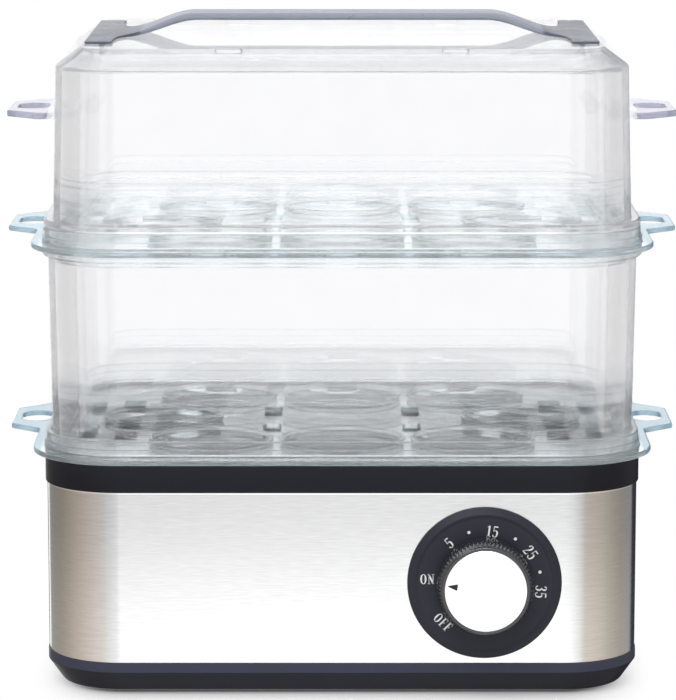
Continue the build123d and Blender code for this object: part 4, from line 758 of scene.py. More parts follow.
@dataclass(frozen=True)
class ClearPlastic(Finish):
    """Clear moulded plastic. Its body tints the light that runs through it, so that thin walls look
    plain and edges look dark, and its shadow stays light.
    """

    colour: Colour  # Colour of what the surface scatters and lets through
    clear: float  # Share of the light that isn't scattered
    tint: Colour  # Colour that the light takes on as it runs through
    density: float  # How quickly it does, per metre
    roughness: float = 0.03  # Mean roughness
    veil: float = 0.0  # Share of the light that passes straight through, as it does a thin wall
    ripple: float = 0.02  # Height of the moulding's faint waves
    index: float = 1.4  # Refractive index
    tabs: Colour = (0.95, 0.95, 0.97)  # Colour of the tabs or pads at both sides, which are thicker
    reach: float = 99.4  # Distance beyond which a tab starts
    waves: Pair = (45.0, 90.0)  # Waves and patches of haze per metre
    # How clear a tab is, its refractive index and its share of the look there
    thick: Triple = (0.6, 1.15, 0.88)
    run: float = 1.5  # Distance over which the wall's look becomes the tab's

    def write(self, graph: Graph) -> None:
        """Writes the nodes: a glass with black grazing reflections, a duller one on the tabs, and what
        passes straight through.

        Args:
            graph: The material's nodes.
        """
        where = graph.place()
        waves = graph.noise(where, self.waves[0], 1.0)
        haze = graph.noise(where, self.waves[1], 3.0, 0.6)
        out = graph.axis(where, "X").math("ABSOLUTE")
        tab = graph.smooth(out, self.reach * MM, (self.reach + self.run) * MM)
        rough = haze * (self.roughness * 0.8) + self.roughness * 0.6
        wall = {
            "Base Color": graph.varied(haze, self.colour, 0.97, 1.03),
            "Transmission Weight": self.clear,
            "IOR": self.index,
            "Specular Tint": (0.0, 0.0, 0.0, 1.0),
            "Roughness": rough,
            "Normal": graph.bump(waves, self.ripple * MM),
        }
        clear, index, share = self.thick
        thick = {
            "Base Color": graph.varied(haze, self.tabs, 0.94, 1.03),
            "Transmission Weight": clear,
            "IOR": index,
            "Roughness": rough,
        }
        plastic = graph.mixed(tab * share, graph.principled(wall), graph.principled(thick))
        shadow = graph.node("LightPath")["Is Shadow Ray"]
        straight = ((1.0 - tab) * self.veil).math("MAXIMUM", shadow)
        see_through = graph.node("BsdfTransparent")["BSDF"]
        sockets = {"Color": (*self.tint, 1.0), "Density": self.density}
        body = graph.node("VolumeAbsorption", {}, sockets)["Volume"]
        graph.finish(graph.mixed(straight, plastic, see_through), Volume=body)


@dataclass(frozen=True)
class Ink(Finish):
    """Printed or inlaid colour, slightly uneven where it took less well."""

    colour: Colour  # Base colour
    roughness: float = 0.5  # Mean roughness
    speckle: float = 1500.0  # Uneven spots per metre

    def write(self, graph: Graph) -> None:
        """Writes the ink's nodes.

        Args:
            graph: The material's nodes.
        """
        cover = graph.noise(graph.place(), self.speckle)
        sockets = {
            "Base Color": graph.varied(cover, self.colour, 0.88, 1.04),
            "Roughness": (cover - 0.5) * 0.2 + self.roughness,
        }
        graph.finish(graph.principled(sockets))


FINISHES: dict[str, Finish] = {
    # Between 8.1 and 11.25 mm up, the bottom cover's upright face is painted lighter as a painted
    # reflection of a light; the part below is lighter too
    "black_plastic": Moulded(
        (0.0082, 0.0088, 0.0138), 0.4, specular=0.17, band=(8.1, 11.25, 4.8, 1.1)
    ),
    "dial_plastic": Moulded((0.03, 0.031, 0.044), 0.4, specular=0.17),
    "knob_plastic": Moulded((0.026, 0.027, 0.036), 0.16, grain=0.6, depth=0.004, specular=0.8),
    "rubber": Moulded((0.03, 0.03, 0.03), 0.75, grain=0.6, depth=0.02),
    # The front's colour is painted darker towards its top, as painted shade under the tray and ring above
    # it, with a painted highlight line along its top edge
    "brushed_steel": Brushed((0.92, 0.918, 0.912), fade=(14.0, 69.0, 0.7), rim=68.2),
    # The pan is much darker than bare steel: partly a darker finish, partly painted shade of the eggs that
    # sit over it in use
    "pan_steel": Brushed((0.2, 0.2, 0.205), 0.38, (900.0, 60.0, 60.0), 0.3),
    "silicone": Moulded((0.62, 0.62, 0.6), 0.6, grain=0.8),
    "zinc_steel": BareMetal((0.62, 0.63, 0.65), 0.35),
    "bell_steel": BareMetal((0.78, 0.78, 0.78), 0.15, 6.0),
    "aluminium": BareMetal((0.78, 0.78, 0.8), 0.42, 2.0, 0.03),
    "heater_tube": BareMetal((0.3, 0.3, 0.31), 0.5, 4.0, 0.02),
    "ceramic_white": Moulded((0.85, 0.84, 0.8), 0.7, grain=0.5, depth=0.02),
    "thermostat_brown": Moulded((0.12, 0.06, 0.03), 0.35),
    "brass": BareMetal((0.72, 0.55, 0.28), 0.3),
    "white_plastic": Moulded((0.82, 0.82, 0.8), 0.45),
    "knob_face": BareMetal((0.97, 0.97, 0.97), 0.3, 0.8, 0.001, 0.04),
    "pointer_black": Ink((0.012, 0.012, 0.014), 0.7),
    "dial_ink": Ink((0.95, 0.95, 0.95), 0.5),
    "wire_brown": Moulded((0.2, 0.09, 0.04), 0.5, grain=0.5),
    "wire_black": Moulded((0.04, 0.04, 0.04), 0.5, grain=0.5),
    "wire_blue": Moulded((0.05, 0.16, 0.5), 0.5, grain=0.5),
    "wire_green": Moulded((0.2, 0.45, 0.08), 0.5, grain=0.5),
    "clear_plastic": ClearPlastic(
        (0.98, 0.98, 1.0), 1.0, (0.72, 0.73, 0.8), 11.0,
        veil=0.38, index=1.45, tabs=(0.52, 0.53, 0.63),
    ),
    "tray_clear": ClearPlastic(
        (0.96, 0.98, 1.0), 0.95, (0.45, 0.76, 0.82), 18.0, veil=0.15, tabs=(0.48, 0.61, 0.69)
    ),
    "handle_clear": ClearPlastic(
        (0.37, 0.39, 0.46), 0.12, (0.6, 0.66, 0.78), 20.0, 0.3,
        index=1.1, tabs=(0.18, 0.195, 0.25), reach=67.5,
    ),
}


class Wardrobe:
    """The materials of the scene, made once each from their finishes."""

    def __init__(self) -> None:
        """Makes a material for every finish."""
        self.materials = {
            name: finish.material("finish_" + name) for name, finish in FINISHES.items()
        }

    def dress(self, piece: Piece, name: str, slot: str | None = None) -> Piece:
        """Gives a new piece its material.

        Args:
            piece: The piece.
            name: The finish's name.
            slot: The slot that it stands for, if that isn't the finish's own name. It is not used.

        Returns:
            The piece.
        """
        piece.data.materials.append(self.materials[name])
        slot = slot or name
        return piece

    def dress_frame(self, nodes: Mapping[str, Piece]) -> None:
        """Gives every node of the frame its own slot's material.

        Args:
            nodes: The frame's nodes, by name.
        """
        for node in nodes.values():
            for place in node.material_slots:
                place.material = self.materials[place.material.name.split(".")[0]]


# ---- shared plan
@dataclass
class Plan:
    """The body's plan, which every wall follows at its own inset."""

    corner: float = 26.0  # The plan's corner radius
    steps: int = 22  # Steps in each corner's quarter turn

    def __post_init__(self) -> None:
        """Takes the plan's half sizes from the top ring."""
        low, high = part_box("top_ring")
        self.half_x = (high.x - low.x) / 2 / MM
        self.half_y = (high.y - low.y) / 2 / MM

    def outline(self) -> Path:
        """The plan itself. A section's first number is how far it stands out of it."""
        return rounded_rectangle(self.half_x, self.half_y, self.corner, self.steps)


@dataclass
class FingerTab:
    """The pair of tabs that trays and lid are lifted by, each with a finger slot."""

    root_half: float = 24.0  # Half the width at the flange
    tip_half: float = 14.5  # Half the width at the tip
    shoulder_x: float = 103.2  # Where the taper starts
    tip_x: float = 113.7  # Where it ends
    hole_x: float = 105.7  # The finger slot's middle
    hole_half: Pair = (5.25, 9.0)  # Half the slot's width and length
    tip_round: float = 2.0  # Corner radius of the tip
    root_round: float = 3.0  # Radius of the inner corner at the root
    shoulder_round: float = 4.0  # Radius of the lid's tabs where the taper starts
    slot_ease: float = 0.4  # Radius of the slot's eased edges

    def cut(self, skin: Skin, side: int, low: float, high: float) -> Array:
        """Adds the finger slot on one side, whose ends are half circles.

        Args:
            skin: The surface that it joins.
            side: 1 for the right-hand tab and -1 for the left-hand one.
            low: The tab's underside.
            high: The tab's top.

        Returns:
            The slot's loops in the underside and in the top.
        """
        half_x, half_y = self.hole_half
        slot = rounded_rectangle(half_x, half_y, half_x - 0.01, 10)
        return cut_slot(skin, slot.moved(side * self.hole_x, 0), low, high, self.slot_ease)


# ---- trays
@dataclass
class Tray:
    """One clear egg tray: a flange with two tabs, a raised rim, a spigot that drops into what carries
    it, and a sunk floor with eight seats and its steam slots.
    """

    name: str  # The node that it stands for, which is also its body
    plan: Plan
    tab: FingerTab
    overhang: float = 4.0  # How far the flange stands out of the plan
    flange: float = 1.8  # Thickness of the flange and the floor
    flange_corner: float = 30.0  # Corner radius of the flange
    rim: Pair = (0.3, 2.2)  # Outer and inner inset of the rim
    rim_height: float = 5.3  # Height of the rim over the flange
    step: Pair = (0.2, 2.6)  # How far the ledge outside the rim stands out, and its height
    spigot: Pair = (4.7, 6.7)  # Outer and inner inset of the spigot
    spigot_depth: float = 4.4  # How far the spigot drops
    floor_drop: float = 1.5  # How far the floor's top lies under the flange's
    floor_inset: float = 9.2  # Inset of the floor's flat part
    # Places of the seats
    seats: tuple[Pair, ...] = (
        (-44, -41), (0, -41), (44, -41), (-62, 0), (62, 0), (-44, 41), (0, 41), (44, 41)
    )
    seat_low: float = 16.6  # Inner radius of a seat at its foot
    seat_high: float = 20.0  # Inner radius of a seat at its top
    seat_wall: float = 1.4  # Thickness of a seat's wall
    seat_drop: float = 3.5  # How far a seat reaches under the flange
    seat_rise: float = 2.0  # How far a seat stands over the floor
    # Middle and half size of each kind of steam slot, for one quarter
    slots: tuple[Quad, ...] = (
        (86.75, 21.0, 2.7, 12.25), (73.5, 28.0, 3.75, 8.5), (24.0, 15.0, 3.0, 8.0),
        (0.0, 64.25, 6.0, 2.0), (44.0, 64.25, 6.0, 2.0),
    )
    slot_corner: Pair = (1.0, 0.2)  # Corner radius of the steam slots, and of their eased edges
    ease: float = 0.5  # Radius of the moulded edges
    # Radius of the ledge's edge and of the corner where the rim rises from it
    step_ease: Pair = (0.2, 0.25)
    # Radius where the spigot leaves the flange, and how far its section runs on into the flats
    spigot_ease: float = 0.6
    lip: float = 0.55  # Radius of the edge of the flange and of a seat's lip
    foot_ease: float = 0.4  # Radius of a seat's foot and of the corners under the rim
    margin: float = 0.3  # How far a section runs on into the flat beside it, and its radius there

    def __post_init__(self) -> None:
        """Takes the flange's height from the frame and works out the others."""
        low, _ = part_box(self.name)
        self.foot = low.z / MM
        self.base = self.foot + self.spigot_depth
        self.shelf = self.base + self.flange
        self.top = self.shelf - self.floor_drop
        self.under = self.top - self.flange

    def flange_outline(self) -> Path:
        """The flange's edge with the two tabs, anticlockwise.

        Returns:
            The edge.
        """
        plan, tab = self.plan, self.tab
        x, y = plan.half_x + self.overhang, plan.half_y + self.overhang
        right = [
            (x, -y, self.flange_corner), (x, -tab.root_half, tab.root_round),
            (tab.tip_x, -tab.tip_half, tab.tip_round), (tab.tip_x, tab.tip_half, tab.tip_round),
            (x, tab.root_half, tab.root_round), (x, y, self.flange_corner),
        ]
        left = [(-corner_x, -corner_y, radius) for corner_x, corner_y, radius in right]
        return filleted(right + left, closed=True, quarter=plan.steps)

    def seat_section(self) -> Path:
        """A seat's wall: out of the floor's top, over, inside, and back to its underside.

        The cone's radius grows evenly with height, so the places where it meets the floor's two faces
        are found on that line.

        Returns:
            The section, whose first number is a radius.
        """
        foot, crest = self.base - self.seat_drop, self.top + self.seat_rise
        slope = (self.seat_high - self.seat_low) / (crest - foot)
        heights = np.array((self.top, crest, foot, self.under))
        top_r, crest_r, foot_r, under_r = self.seat_low + self.seat_wall + slope * (heights - foot)
        corners = [
            (top_r + self.margin, self.top), (top_r, self.top, self.margin), (crest_r, crest, self.lip),
            (self.seat_high, crest, self.lip), (self.seat_low, foot, self.foot_ease),
            (foot_r, foot, self.foot_ease), (under_r, self.under, self.margin),
            (under_r + self.margin, self.under),
        ]
        return filleted(corners, quarter=4)

    def upper_section(self) -> Path:
        """The section over the flange: the ledge, the rim and the slope to the floor.

        Returns:
            The section.
        """
        out, rise = self.step
        outer, inner = self.rim
        ledge, crest = self.shelf + rise, self.shelf + self.rim_height
        corners = [
            (out + self.ease, self.shelf), (out, self.shelf, self.foot_ease),
            (out, ledge, self.step_ease[0]), (-outer, ledge, self.step_ease[1]), (-outer, crest),
            (-inner, crest), (-inner, self.shelf), (-self.spigot[1], self.shelf, self.spigot_ease),
            (-self.floor_inset, self.top), (-self.floor_inset - self.margin, self.top),
        ]
        return filleted(corners, self.ease)

    def lower_section(self) -> Path:
        """The section under the flange: the spigot, from the floor out to the flange.

        Returns:
            The section.
        """
        outer, inner = self.spigot
        corners = [
            (-inner - self.spigot_ease, self.under), (-inner, self.under), (-inner, self.foot),
            (-outer, self.foot), (-outer, self.base, self.foot_ease),
            (self.spigot_ease - outer, self.base),
        ]
        return filleted(corners, self.ease)

    def build(self) -> Piece:
        """Makes the tray's mesh.

        Returns:
            The tray.
        """
        skin, outline, lip = Skin(), self.plan.outline(), self.lip
        upper = skin.sweep(outline, self.upper_section())
        lower = skin.sweep(outline, self.lower_section())
        corners = [(-lip, self.base), (0, self.base), (0, self.shelf), (-lip, self.shelf)]
        edge = skin.sweep(self.flange_outline(), filleted(corners, lip))
        holes = [self.tab.cut(skin, side, self.base, self.shelf) for side in (-1, 1)]
        skin.close((0, 0, 1), edge, (lower[-1], upper[0]), *holes)
        section = self.seat_section()
        holes = [skin.sweep(circle(x, y), section)[::-1] for x, y in self.seats]
        signs = [(1, 1), (1, -1), (-1, 1), (-1, -1)]
        places = {(i * x, j * y, hx, hy) for x, y, hx, hy in self.slots for i, j in signs}
        corner, ease = self.slot_corner
        for x, y, half_x, half_y in sorted(places):
            slot = rounded_rectangle(half_x, half_y, corner, 4).moved(x, y)
            holes.append(cut_slot(skin, slot, self.under, self.top, ease))
        skin.close((0, 0, 1), (lower[0], upper[-1]), *holes)
        return skin.mesh(self.name + "_clear")


# ---- tier wall and lid
@dataclass
class TierWall:
    """The clear wall that carries the upper tray, with a bead round its top."""

    plan: Plan
    low_inset: float = 2.6  # Inset of the outer face at the foot
    high_inset: float = 1.6  # Inset of the outer face at the top
    thickness: float = 2.3  # Thickness of the wall
    bead_out: float = 0.2  # How far the bead stands out of the plan
    bead_height: float = 2.5  # Height of the bead
    # Radius of the wall's edges, of the corner under the bead and of the bead
    ease: Triple = (0.5, 0.4, 0.9)

    def build(self) -> Piece:
        """Makes the wall's mesh, a closed section carried round the plan.

        Returns:
            The wall.
        """
        low, high = (corner.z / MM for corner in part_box("tier_wall"))
        bead = high - self.bead_height
        lean = (self.low_inset - self.high_inset) / (high - low)
        edge, nook, round_bead = self.ease
        corners = [
            (-self.low_inset, low), (-self.high_inset - lean * self.bead_height, bead, nook),
            (self.bead_out, bead, round_bead), (self.bead_out, high, round_bead),
            (-self.high_inset - self.thickness, high), (-self.low_inset - self.thickness, low),
        ]
        skin = Skin()
        skin.sweep(self.plan.outline(), filleted(corners, edge, closed=True), loop=True)
        return skin.mesh("tier_wall_clear")


@dataclass
class Lid:
    """The clear lid: four leaning walls, a sloped band round the top, a bead that lies on the tray's
    rim, two tabs, vents and the slots for the handle's hooks.
    """

    plan: Plan
    tab: FingerTab
    low_inset: float = 3.3  # Inset of the outer face at the foot
    fold_inset: float = 4.9  # Inset of the outer face at the fold
    top_inset: float = 13.2  # Inset of the top's edge
    fold_height: float = 58.2  # Height of the fold over the foot
    thickness: float = 2.3  # Thickness of every wall
    bead: Triple = (0.4, 5.3, 7.8)  # Inset of the bead, its foot and its top over the lid's foot
    tab_height: float = 37.2  # Height of the tabs' underside over the foot
    tab_thickness: float = 2.2  # Thickness of the tabs
    tab_edge: float = 0.55  # Radius of the tabs' edges
    # Place, half size and corner radius of a vent, for one quarter
    vent: tuple[float, ...] = (37.0, 60.3, 4.5, 1.2, 1.176)
    # Place, half size and corner radius of a hook's slot, for one quarter
    hook_slot: tuple[float, ...] = (79.95, 30.0, 0.95, 6.15, 0.3)
    slot_ease: float = 0.25  # Radius of the vents' and the slots' eased edges
    folds: Triple = (1.6, 1.2, 1.0)  # Radius of the folds outside, inside at the top and inside at the wall
    ease: Triple = (0.5, 0.9, 0.4)  # Radius of the foot's edges, of the bead and of the corners beside it
    margin: Pair = (0.45, 0.6)  # How far the section runs on into the ceiling and into the top

    def __post_init__(self) -> None:
        """Takes the foot and the top from the frame."""
        low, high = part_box("lid_shell")
        self.foot, self.top = low.z / MM, high.z / MM
        self.fold = self.foot + self.fold_height

    def wall_out(self, z: float | Array) -> float | Array:
        """How far the outer face stands out of the plan at a height."""
        share = (z - self.foot) / self.fold_height
        return -(self.low_inset + share * (self.fold_inset - self.low_inset))

    def section(self) -> Path:
        """The lid's section, from the ceiling down inside and up outside to the top.

        Returns:
            The section.
        """
        slant = atan2(self.top - self.fold, self.top_inset - self.fold_inset)
        fold_drop = self.thickness * tan((pi / 2 - slant) / 2)
        ceiling = self.top - self.thickness
        ceiling_inset = self.top_inset + self.thickness * tan(slant / 2)
        bead_out, bead_low, bead_high = self.bead
        low, high = self.foot + bead_low, self.foot + bead_high
        outer, inner, inner_low = self.folds
        edge, bead, nook = self.ease
        return filleted(
            [
                (-ceiling_inset - self.margin[0], ceiling), (-ceiling_inset, ceiling, inner),
                (-self.fold_inset - self.thickness, self.fold - fold_drop, inner_low),
                (-self.low_inset - self.thickness, self.foot, edge), (-self.low_inset, self.foot, edge),
                (self.wall_out(low), low, nook), (-bead_out, low, bead), (-bead_out, high, bead),
                (self.wall_out(high), high, nook), (-self.fold_inset, self.fold, outer),
                (-self.top_inset, self.top, outer), (-self.top_inset - self.margin[1], self.top),
            ]
        )

    def add_tab(self, skin: Skin, side: int) -> Array:
        """Adds one tab, whose root lies in the plane of the leaning side wall.

        The edge's section is carried round the tab's free outline. Both ends of that outline run
        straight into the wall, so their points slide along X onto its plane.

        Args:
            skin: The lid's surface.
            side: 1 for the right-hand tab and -1 for the left-hand one.

        Returns:
            The loop in the side wall that the tab's root leaves open.
        """
        plan, tab = self.plan, self.tab
        low = self.foot + self.tab_height
        high = low + self.tab_thickness
        start, edge = plan.half_x - self.fold_inset, self.tab_edge
        near = [
            (start, tab.root_half), (tab.shoulder_x, tab.root_half, tab.shoulder_round),
            (tab.tip_x, tab.tip_half, tab.tip_round),
        ]
        far = [(x, -y, *radius) for x, y, *radius in near]
        outline = filleted(far + near[::-1])
        if side < 0:
            outline = outline.flipped(-1, 1)
        section = filleted([(-edge, low), (0, low), (0, high), (-edge, high)], edge)
        rows = skin.sweep(outline, section, wrap=False)
        # The skin holds this same array, so its own points slide
        rows[:, [0, -1], 0] = side * (plan.half_x + self.wall_out(rows[:, [0, -1], 2]))
        skin.close((0, 0, 1), rows, tab.cut(skin, side, low, high))
        return np.concatenate([rows[:, 0], rows[::-1, -1]])

    def build(self) -> Piece:
        """Makes the lid's mesh. The two flat side faces above the bead, which are the longest upright
        cells at the sides, are left open for the tabs' roots.

        Returns:
            The lid.
        """
        skin, outline, section = Skin(), self.plan.outline(), self.section()
        rise = np.diff(section.points[:, 1])
        row = int(np.argmax(np.where(section.facing[:-1, 0] > 0.9, rise, 0)))
        length = np.abs(np.diff(outline.points[:, 1]))
        columns = {
            side: int(np.argmax(length * (side * outline.facing[:-1, 0] > 0.999)))
            for side in (1, -1)
        }
        rows = skin.sweep(outline, section, omit=[(row, column) for column in columns.values()])
        lean = section.facing[row]
        for side, column in columns.items():
            root = self.add_tab(skin, side)
            skin.fill((side * lean[0], 0, lean[1]), cell(rows, row, column), root)
        ceiling, slots = self.top - self.thickness, []
        for x, y, half_x, half_y, corner in (self.vent, self.hook_slot):
            for sx, sy in ((-1, -1), (1, -1), (-1, 1), (1, 1)):
                shape = rounded_rectangle(half_x, half_y, corner, 6).moved(sx * x, sy * y)
                slots.append(cut_slot(skin, shape, ceiling, self.top, self.slot_ease))
        skin.close((0, 0, 1), rows, *slots)
        return skin.mesh("lid_shell_clear")


def cell(rows: Array, row: int, column: int) -> Array:
    """The four corners of one cell of a grid, in order."""
    return rows[[row, row, row + 1, row + 1], [column, column + 1, column + 1, column]]


# ---- handle
@dataclass
class LidHandle:
    """The smoky strap over the lid, which dips to a thin pad at each end, and the hooks that hold it.
    """

    flat_half: float = 50.0  # Half the length of the level part
    neck_x: float = 74.7  # Where the strap has come down to the pad
    under_run: Pair = (49.0, 72.7)  # Where the strap's underside starts to dip, and where it has come down
    pad_x: float = 76.0  # The pad's inner edge
    end_x: float = 85.2  # The pad's outer edge
    waist: float = 9.3  # Half the strap's width at its middle
    # Places on the strap's edge, from the waist to the pad
    flare: tuple[Pair, ...] = ((64.95, 13.5), (73.0, 17.8), (76.0, 30.9))
    flare_steps: int = 14  # Steps between two of them
    pad_half: float = 44.0  # Half the pad's length
    pad_round: float = 1.5  # Radius of the pad's corners
    pad_thickness: float = 0.8  # The pad's thickness
    thickness: float = 2.4  # The strap's thickness
    lift: float = 0.04  # Gap under the pad, so that it shares no face with the lid
    strap_ease: float = 1.0  # Radius of the strap's edges
    pad_ease: float = 0.34  # Radius of the pad's edges
    ease_run: float = 20.0  # The length over which one becomes the other
    ease_share: float = 0.46  # The most of the thickness that an edge's radius may take
    ease_points: int = 5  # Points in an edge's quarter turn
    # Inner and outer side of a hook's leg, its barb's tip and half its length
    hook: Quad = (79.15, 80.75, 78.15, 6.0)
    hook_y: float = 30.0  # The hook's middle
    # Height of the barb, its gap under the lid, and the slope of its tip as sideways and up
    barb: Quad = (1.6, 0.15, 0.8, 0.7)

    def __post_init__(self) -> None:
        """Takes the heights from the frame."""
        self.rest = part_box("lid_shell")[1].z / MM
        self.low = self.rest + self.lift
        self.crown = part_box("lid_handle")[1].z / MM

    def edge(self) -> tuple[Path, int]:
        """The strap's outline, anticlockwise, and how many points its lower side has.

        The lower side runs from the left neck to the right one, and the upper side is its mirror image.
        The pads' outlines join them.

        Returns:
            The outline, and the count.
        """
        start = Path(np.array([[0.0, -self.waist]]), np.array([[0.0, -1.0]]))
        spots = [(self.flat_half, -self.waist)]
        spots += [(x, -y) for x, y in self.flare]
        spots.append((self.pad_x, self.pad_round - self.pad_half))
        side = joined(start, curved(spots, 0.0, -pi / 2, self.flare_steps))
        split = int(np.argmax(side.points[:, 0] >= self.neck_x)) + 1
        inner, outer = side.part(0, split), side.part(split, None)
        corners = [
            (self.pad_x, 0), (self.pad_x, -self.pad_half), (self.end_x, -self.pad_half),
            (self.end_x, 0),
        ]
        corner = joined(outer, filleted(corners, self.pad_round).part(1, -1))
        lower = joined(inner.flipped(-1, 1), inner)
        corner_up = corner.flipped(1, -1)
        upper, left = lower.flipped(1, -1), (corner_up.flipped(-1, 1), corner.flipped(-1, 1))
        return joined(lower, corner, corner_up, upper, *left), len(lower.points)

    def over(self, x: Array) -> tuple[Array, Array]:
        """Height and slope of the strap's top, level, then a smooth dip to the pad."""
        pad = self.low + self.pad_thickness
        return dip(np.abs(x), self.flat_half, self.crown, self.neck_x, pad)

    def under(self, x: Array) -> tuple[Array, Array]:
        """Height and slope of the strap's underside, which reaches the lid sooner."""
        start, end = self.under_run
        return dip(np.abs(x), start, self.crown - self.thickness, end, self.low)

    def add_hook(self, skin: Skin, x: int, y: int) -> Array:
        """Adds one hook under the pad, a bent section run along Y between two flat ends.

        Args:
            skin: The handle's surface.
            x: Which side the hook is on, 1 or -1.
            y: Which end it is on, 1 or -1.

        Returns:
            The hole that it leaves in the pad's underside.
        """
        inner, outer, tip, half = self.hook
        height, gap, aside, up = self.barb
        catch = self.rest - Lid.thickness - gap
        foot = catch - height
        corners = [
            (inner, self.low), (inner, catch), (tip, catch), (tip, foot + up), (tip + aside, foot),
            (outer, foot), (outer, self.low),
        ]
        bend = filleted(corners) if x > 0 else filleted(corners).flipped(-1, 1)
        middle = y * self.hook_y
        ends = np.array([(0.0, -middle - half), (0.0, half - middle)])
        run = Path(ends, np.array([(1.0, 0.0)] * 2))
        rows = skin.sweep(bend, run, wrap=False, place=front_axis(0, 0))
        skin.close((0, 1, 0), rows[::-1])
        return rows[[0, 0, 1, 1], [0, -1, -1, 0]]

    def build(self) -> Piece:
        """Makes the handle's mesh.

        The outline is drawn in by the radius of its edges, and lifted to the height of the top and of
        the underside at that place. Between the two the edge is two quarter turns and a flat. The top
        and the underside are straight across the strap, so each is a strip between matching points, and
        the flat pads are filled.

        Returns:
            The handle.
        """
        skin = Skin()
        outline, count = self.edge()
        reach = (self.neck_x - np.abs(outline.points[:, 0])) / self.ease_run
        ease = self.pad_ease + (self.strap_ease - self.pad_ease) * np.clip(reach, 0, 1)
        inner = outline.points - ease[:, None] * outline.facing
        top, top_slope = self.over(inner[:, 0])
        low, low_slope = self.under(inner[:, 0])
        ease_z = np.minimum(ease, (top - low) * self.ease_share)
        side = np.sign(inner[:, 0])
        still, one = np.zeros_like(top), np.ones_like(top)
        up = unit(np.stack([-top_slope * side, still, one], 1))
        down = unit(np.stack([low_slope * side, still, -one], 1))
        turn = np.linspace(0, pi / 2, self.ease_points)[:, None]
        back = turn[::-1]
        heights = [low + ease_z * (1 - np.cos(turn)), top - ease_z * (1 - np.cos(back))]
        out = np.concatenate([np.sin(turn), np.sin(back)])
        flat = inner[None] + (out * ease)[:, :, None] * outline.facing[None]
        points = np.concatenate([flat, np.concatenate(heights)[:, :, None]], 2)
        facing = out[:, :, None] * np.concatenate([outline.facing, still[:, None]], 1)[None]
        facing[: len(turn)] += np.cos(turn)[:, :, None] * down[None]
        facing[len(turn) :] += np.cos(back)[:, :, None] * up[None]
        skin.grid(points, unit(facing), wrap=True)

        far = len(top) - count
        lower = np.arange(count)
        upper = lower + count + (far - count) // 2
        mates = (lower, upper[::-1])
        for row, tilt, order in ((-1, up, mates), (0, down, mates[::-1])):
            strip = np.stack([points[row, index] for index in order])
            skin.grid(strip, np.stack([tilt[index] for index in order]), wrap=False)
        right = np.arange(count - 1, upper[0] + 1)
        left = np.r_[upper[-1] : len(top), 0]
        for pad, x in ((right, 1), (left, -1)):
            skin.fill((0, 0, 1), points[-1, pad])
            hooks = [self.add_hook(skin, x, y) for y in (-1, 1)]
            skin.fill((0, 0, -1), points[0, pad], *hooks)
        return skin.mesh("lid_handle_clear")


def unit(directions: Array) -> Array:
    """Directions of length one."""
    return directions / np.linalg.norm(directions, axis=-1, keepdims=True)


def dip(x: Array, start: float, high: float, end: float, low: float) -> tuple[Array, Array]:
    """A height that is level, then dips smoothly, then is level again.

    The share s of the way down runs from 0 at the start to 1 at the end, and the height falls by s * s
    * (3 - 2 * s) of the drop.

    Args:
        x: Distances from the middle.
        start: Where the dip starts.
        high: Height before it.
        end: Where the dip ends.
        low: Height after it.

    Returns:
        The heights and their slopes.
    """
    share = np.clip((x - start) / (end - start), 0, 1)
    drop = high - low
    height = high - drop * share**2 * (3 - 2 * share)
    slope = -drop * 6 * share * (1 - share) / (end - start)
    return height, slope


# ---- base
@dataclass
class SteelFront:
    """The brushed sheet that wraps the front and its corners."""

    plan: Plan
    dial: Pair  # The dial's middle from side to side, and its height
    inset: float = 0.8  # Inset of the outer face
    thickness: float = 0.6  # Thickness of the sheet
    wrap_on: float = 3.9  # How far the sheet runs back past the corner
    edge: float = 0.22  # Radius of its sheared edges
    hole: Pair = (21.2, 0.15)  # Radius of the dial's hole, and of the hole's eased edges
    steps: tuple[int, int] = (48, 96)  # Steps in each corner's quarter turn, and points round the hole

    def build(self) -> Piece:
        """Makes the sheet's mesh.

        Returns:
            The sheet.
        """
        plan = self.plan
        low, high = (corner.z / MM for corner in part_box("steel_panel"))
        end_y = plan.corner - plan.half_y + self.wrap_on
        corners = [
            (-plan.half_x, end_y), (-plan.half_x, -plan.half_y), (plan.half_x, -plan.half_y),
            (plan.half_x, end_y),
        ]
        bend_steps, hole_steps = self.steps
        outline = filleted(corners, plan.corner, quarter=bend_steps)
        front, back = -self.inset, -self.inset - self.thickness
        corners = [(back, low), (front, low), (front, high), (back, high)]
        section = filleted(corners, self.edge, closed=True, quarter=4)
        skin = Skin()
        column = int(np.argmax(np.diff(outline.points[:, 0])))
        rises = np.diff(np.append(section.points[:, 1], section.points[0, 1]))
        outer, inner = int(np.argmax(rises)), int(np.argmin(rises))
        omit = [(outer, column), (inner, column)]
        rows = skin.sweep(outline, section, wrap=False, loop=True, omit=omit)
        radius, ease = self.hole
        hole = circle(*self.dial, hole_steps, radius)
        face_y = plan.half_y - self.inset
        rims = cut_slot(skin, hole, face_y - self.thickness, face_y, ease, front_axis(0, 0))
        skin.fill((0, -1, 0), cell(rows, outer, column), rims[1])
        skin.fill((0, 1, 0), cell(rows, inner, column), rims[0])
        for end in (0, -1):
            skin.fill((0, 1, 0), rows[:-1, end])
        return skin.mesh("steel_front")


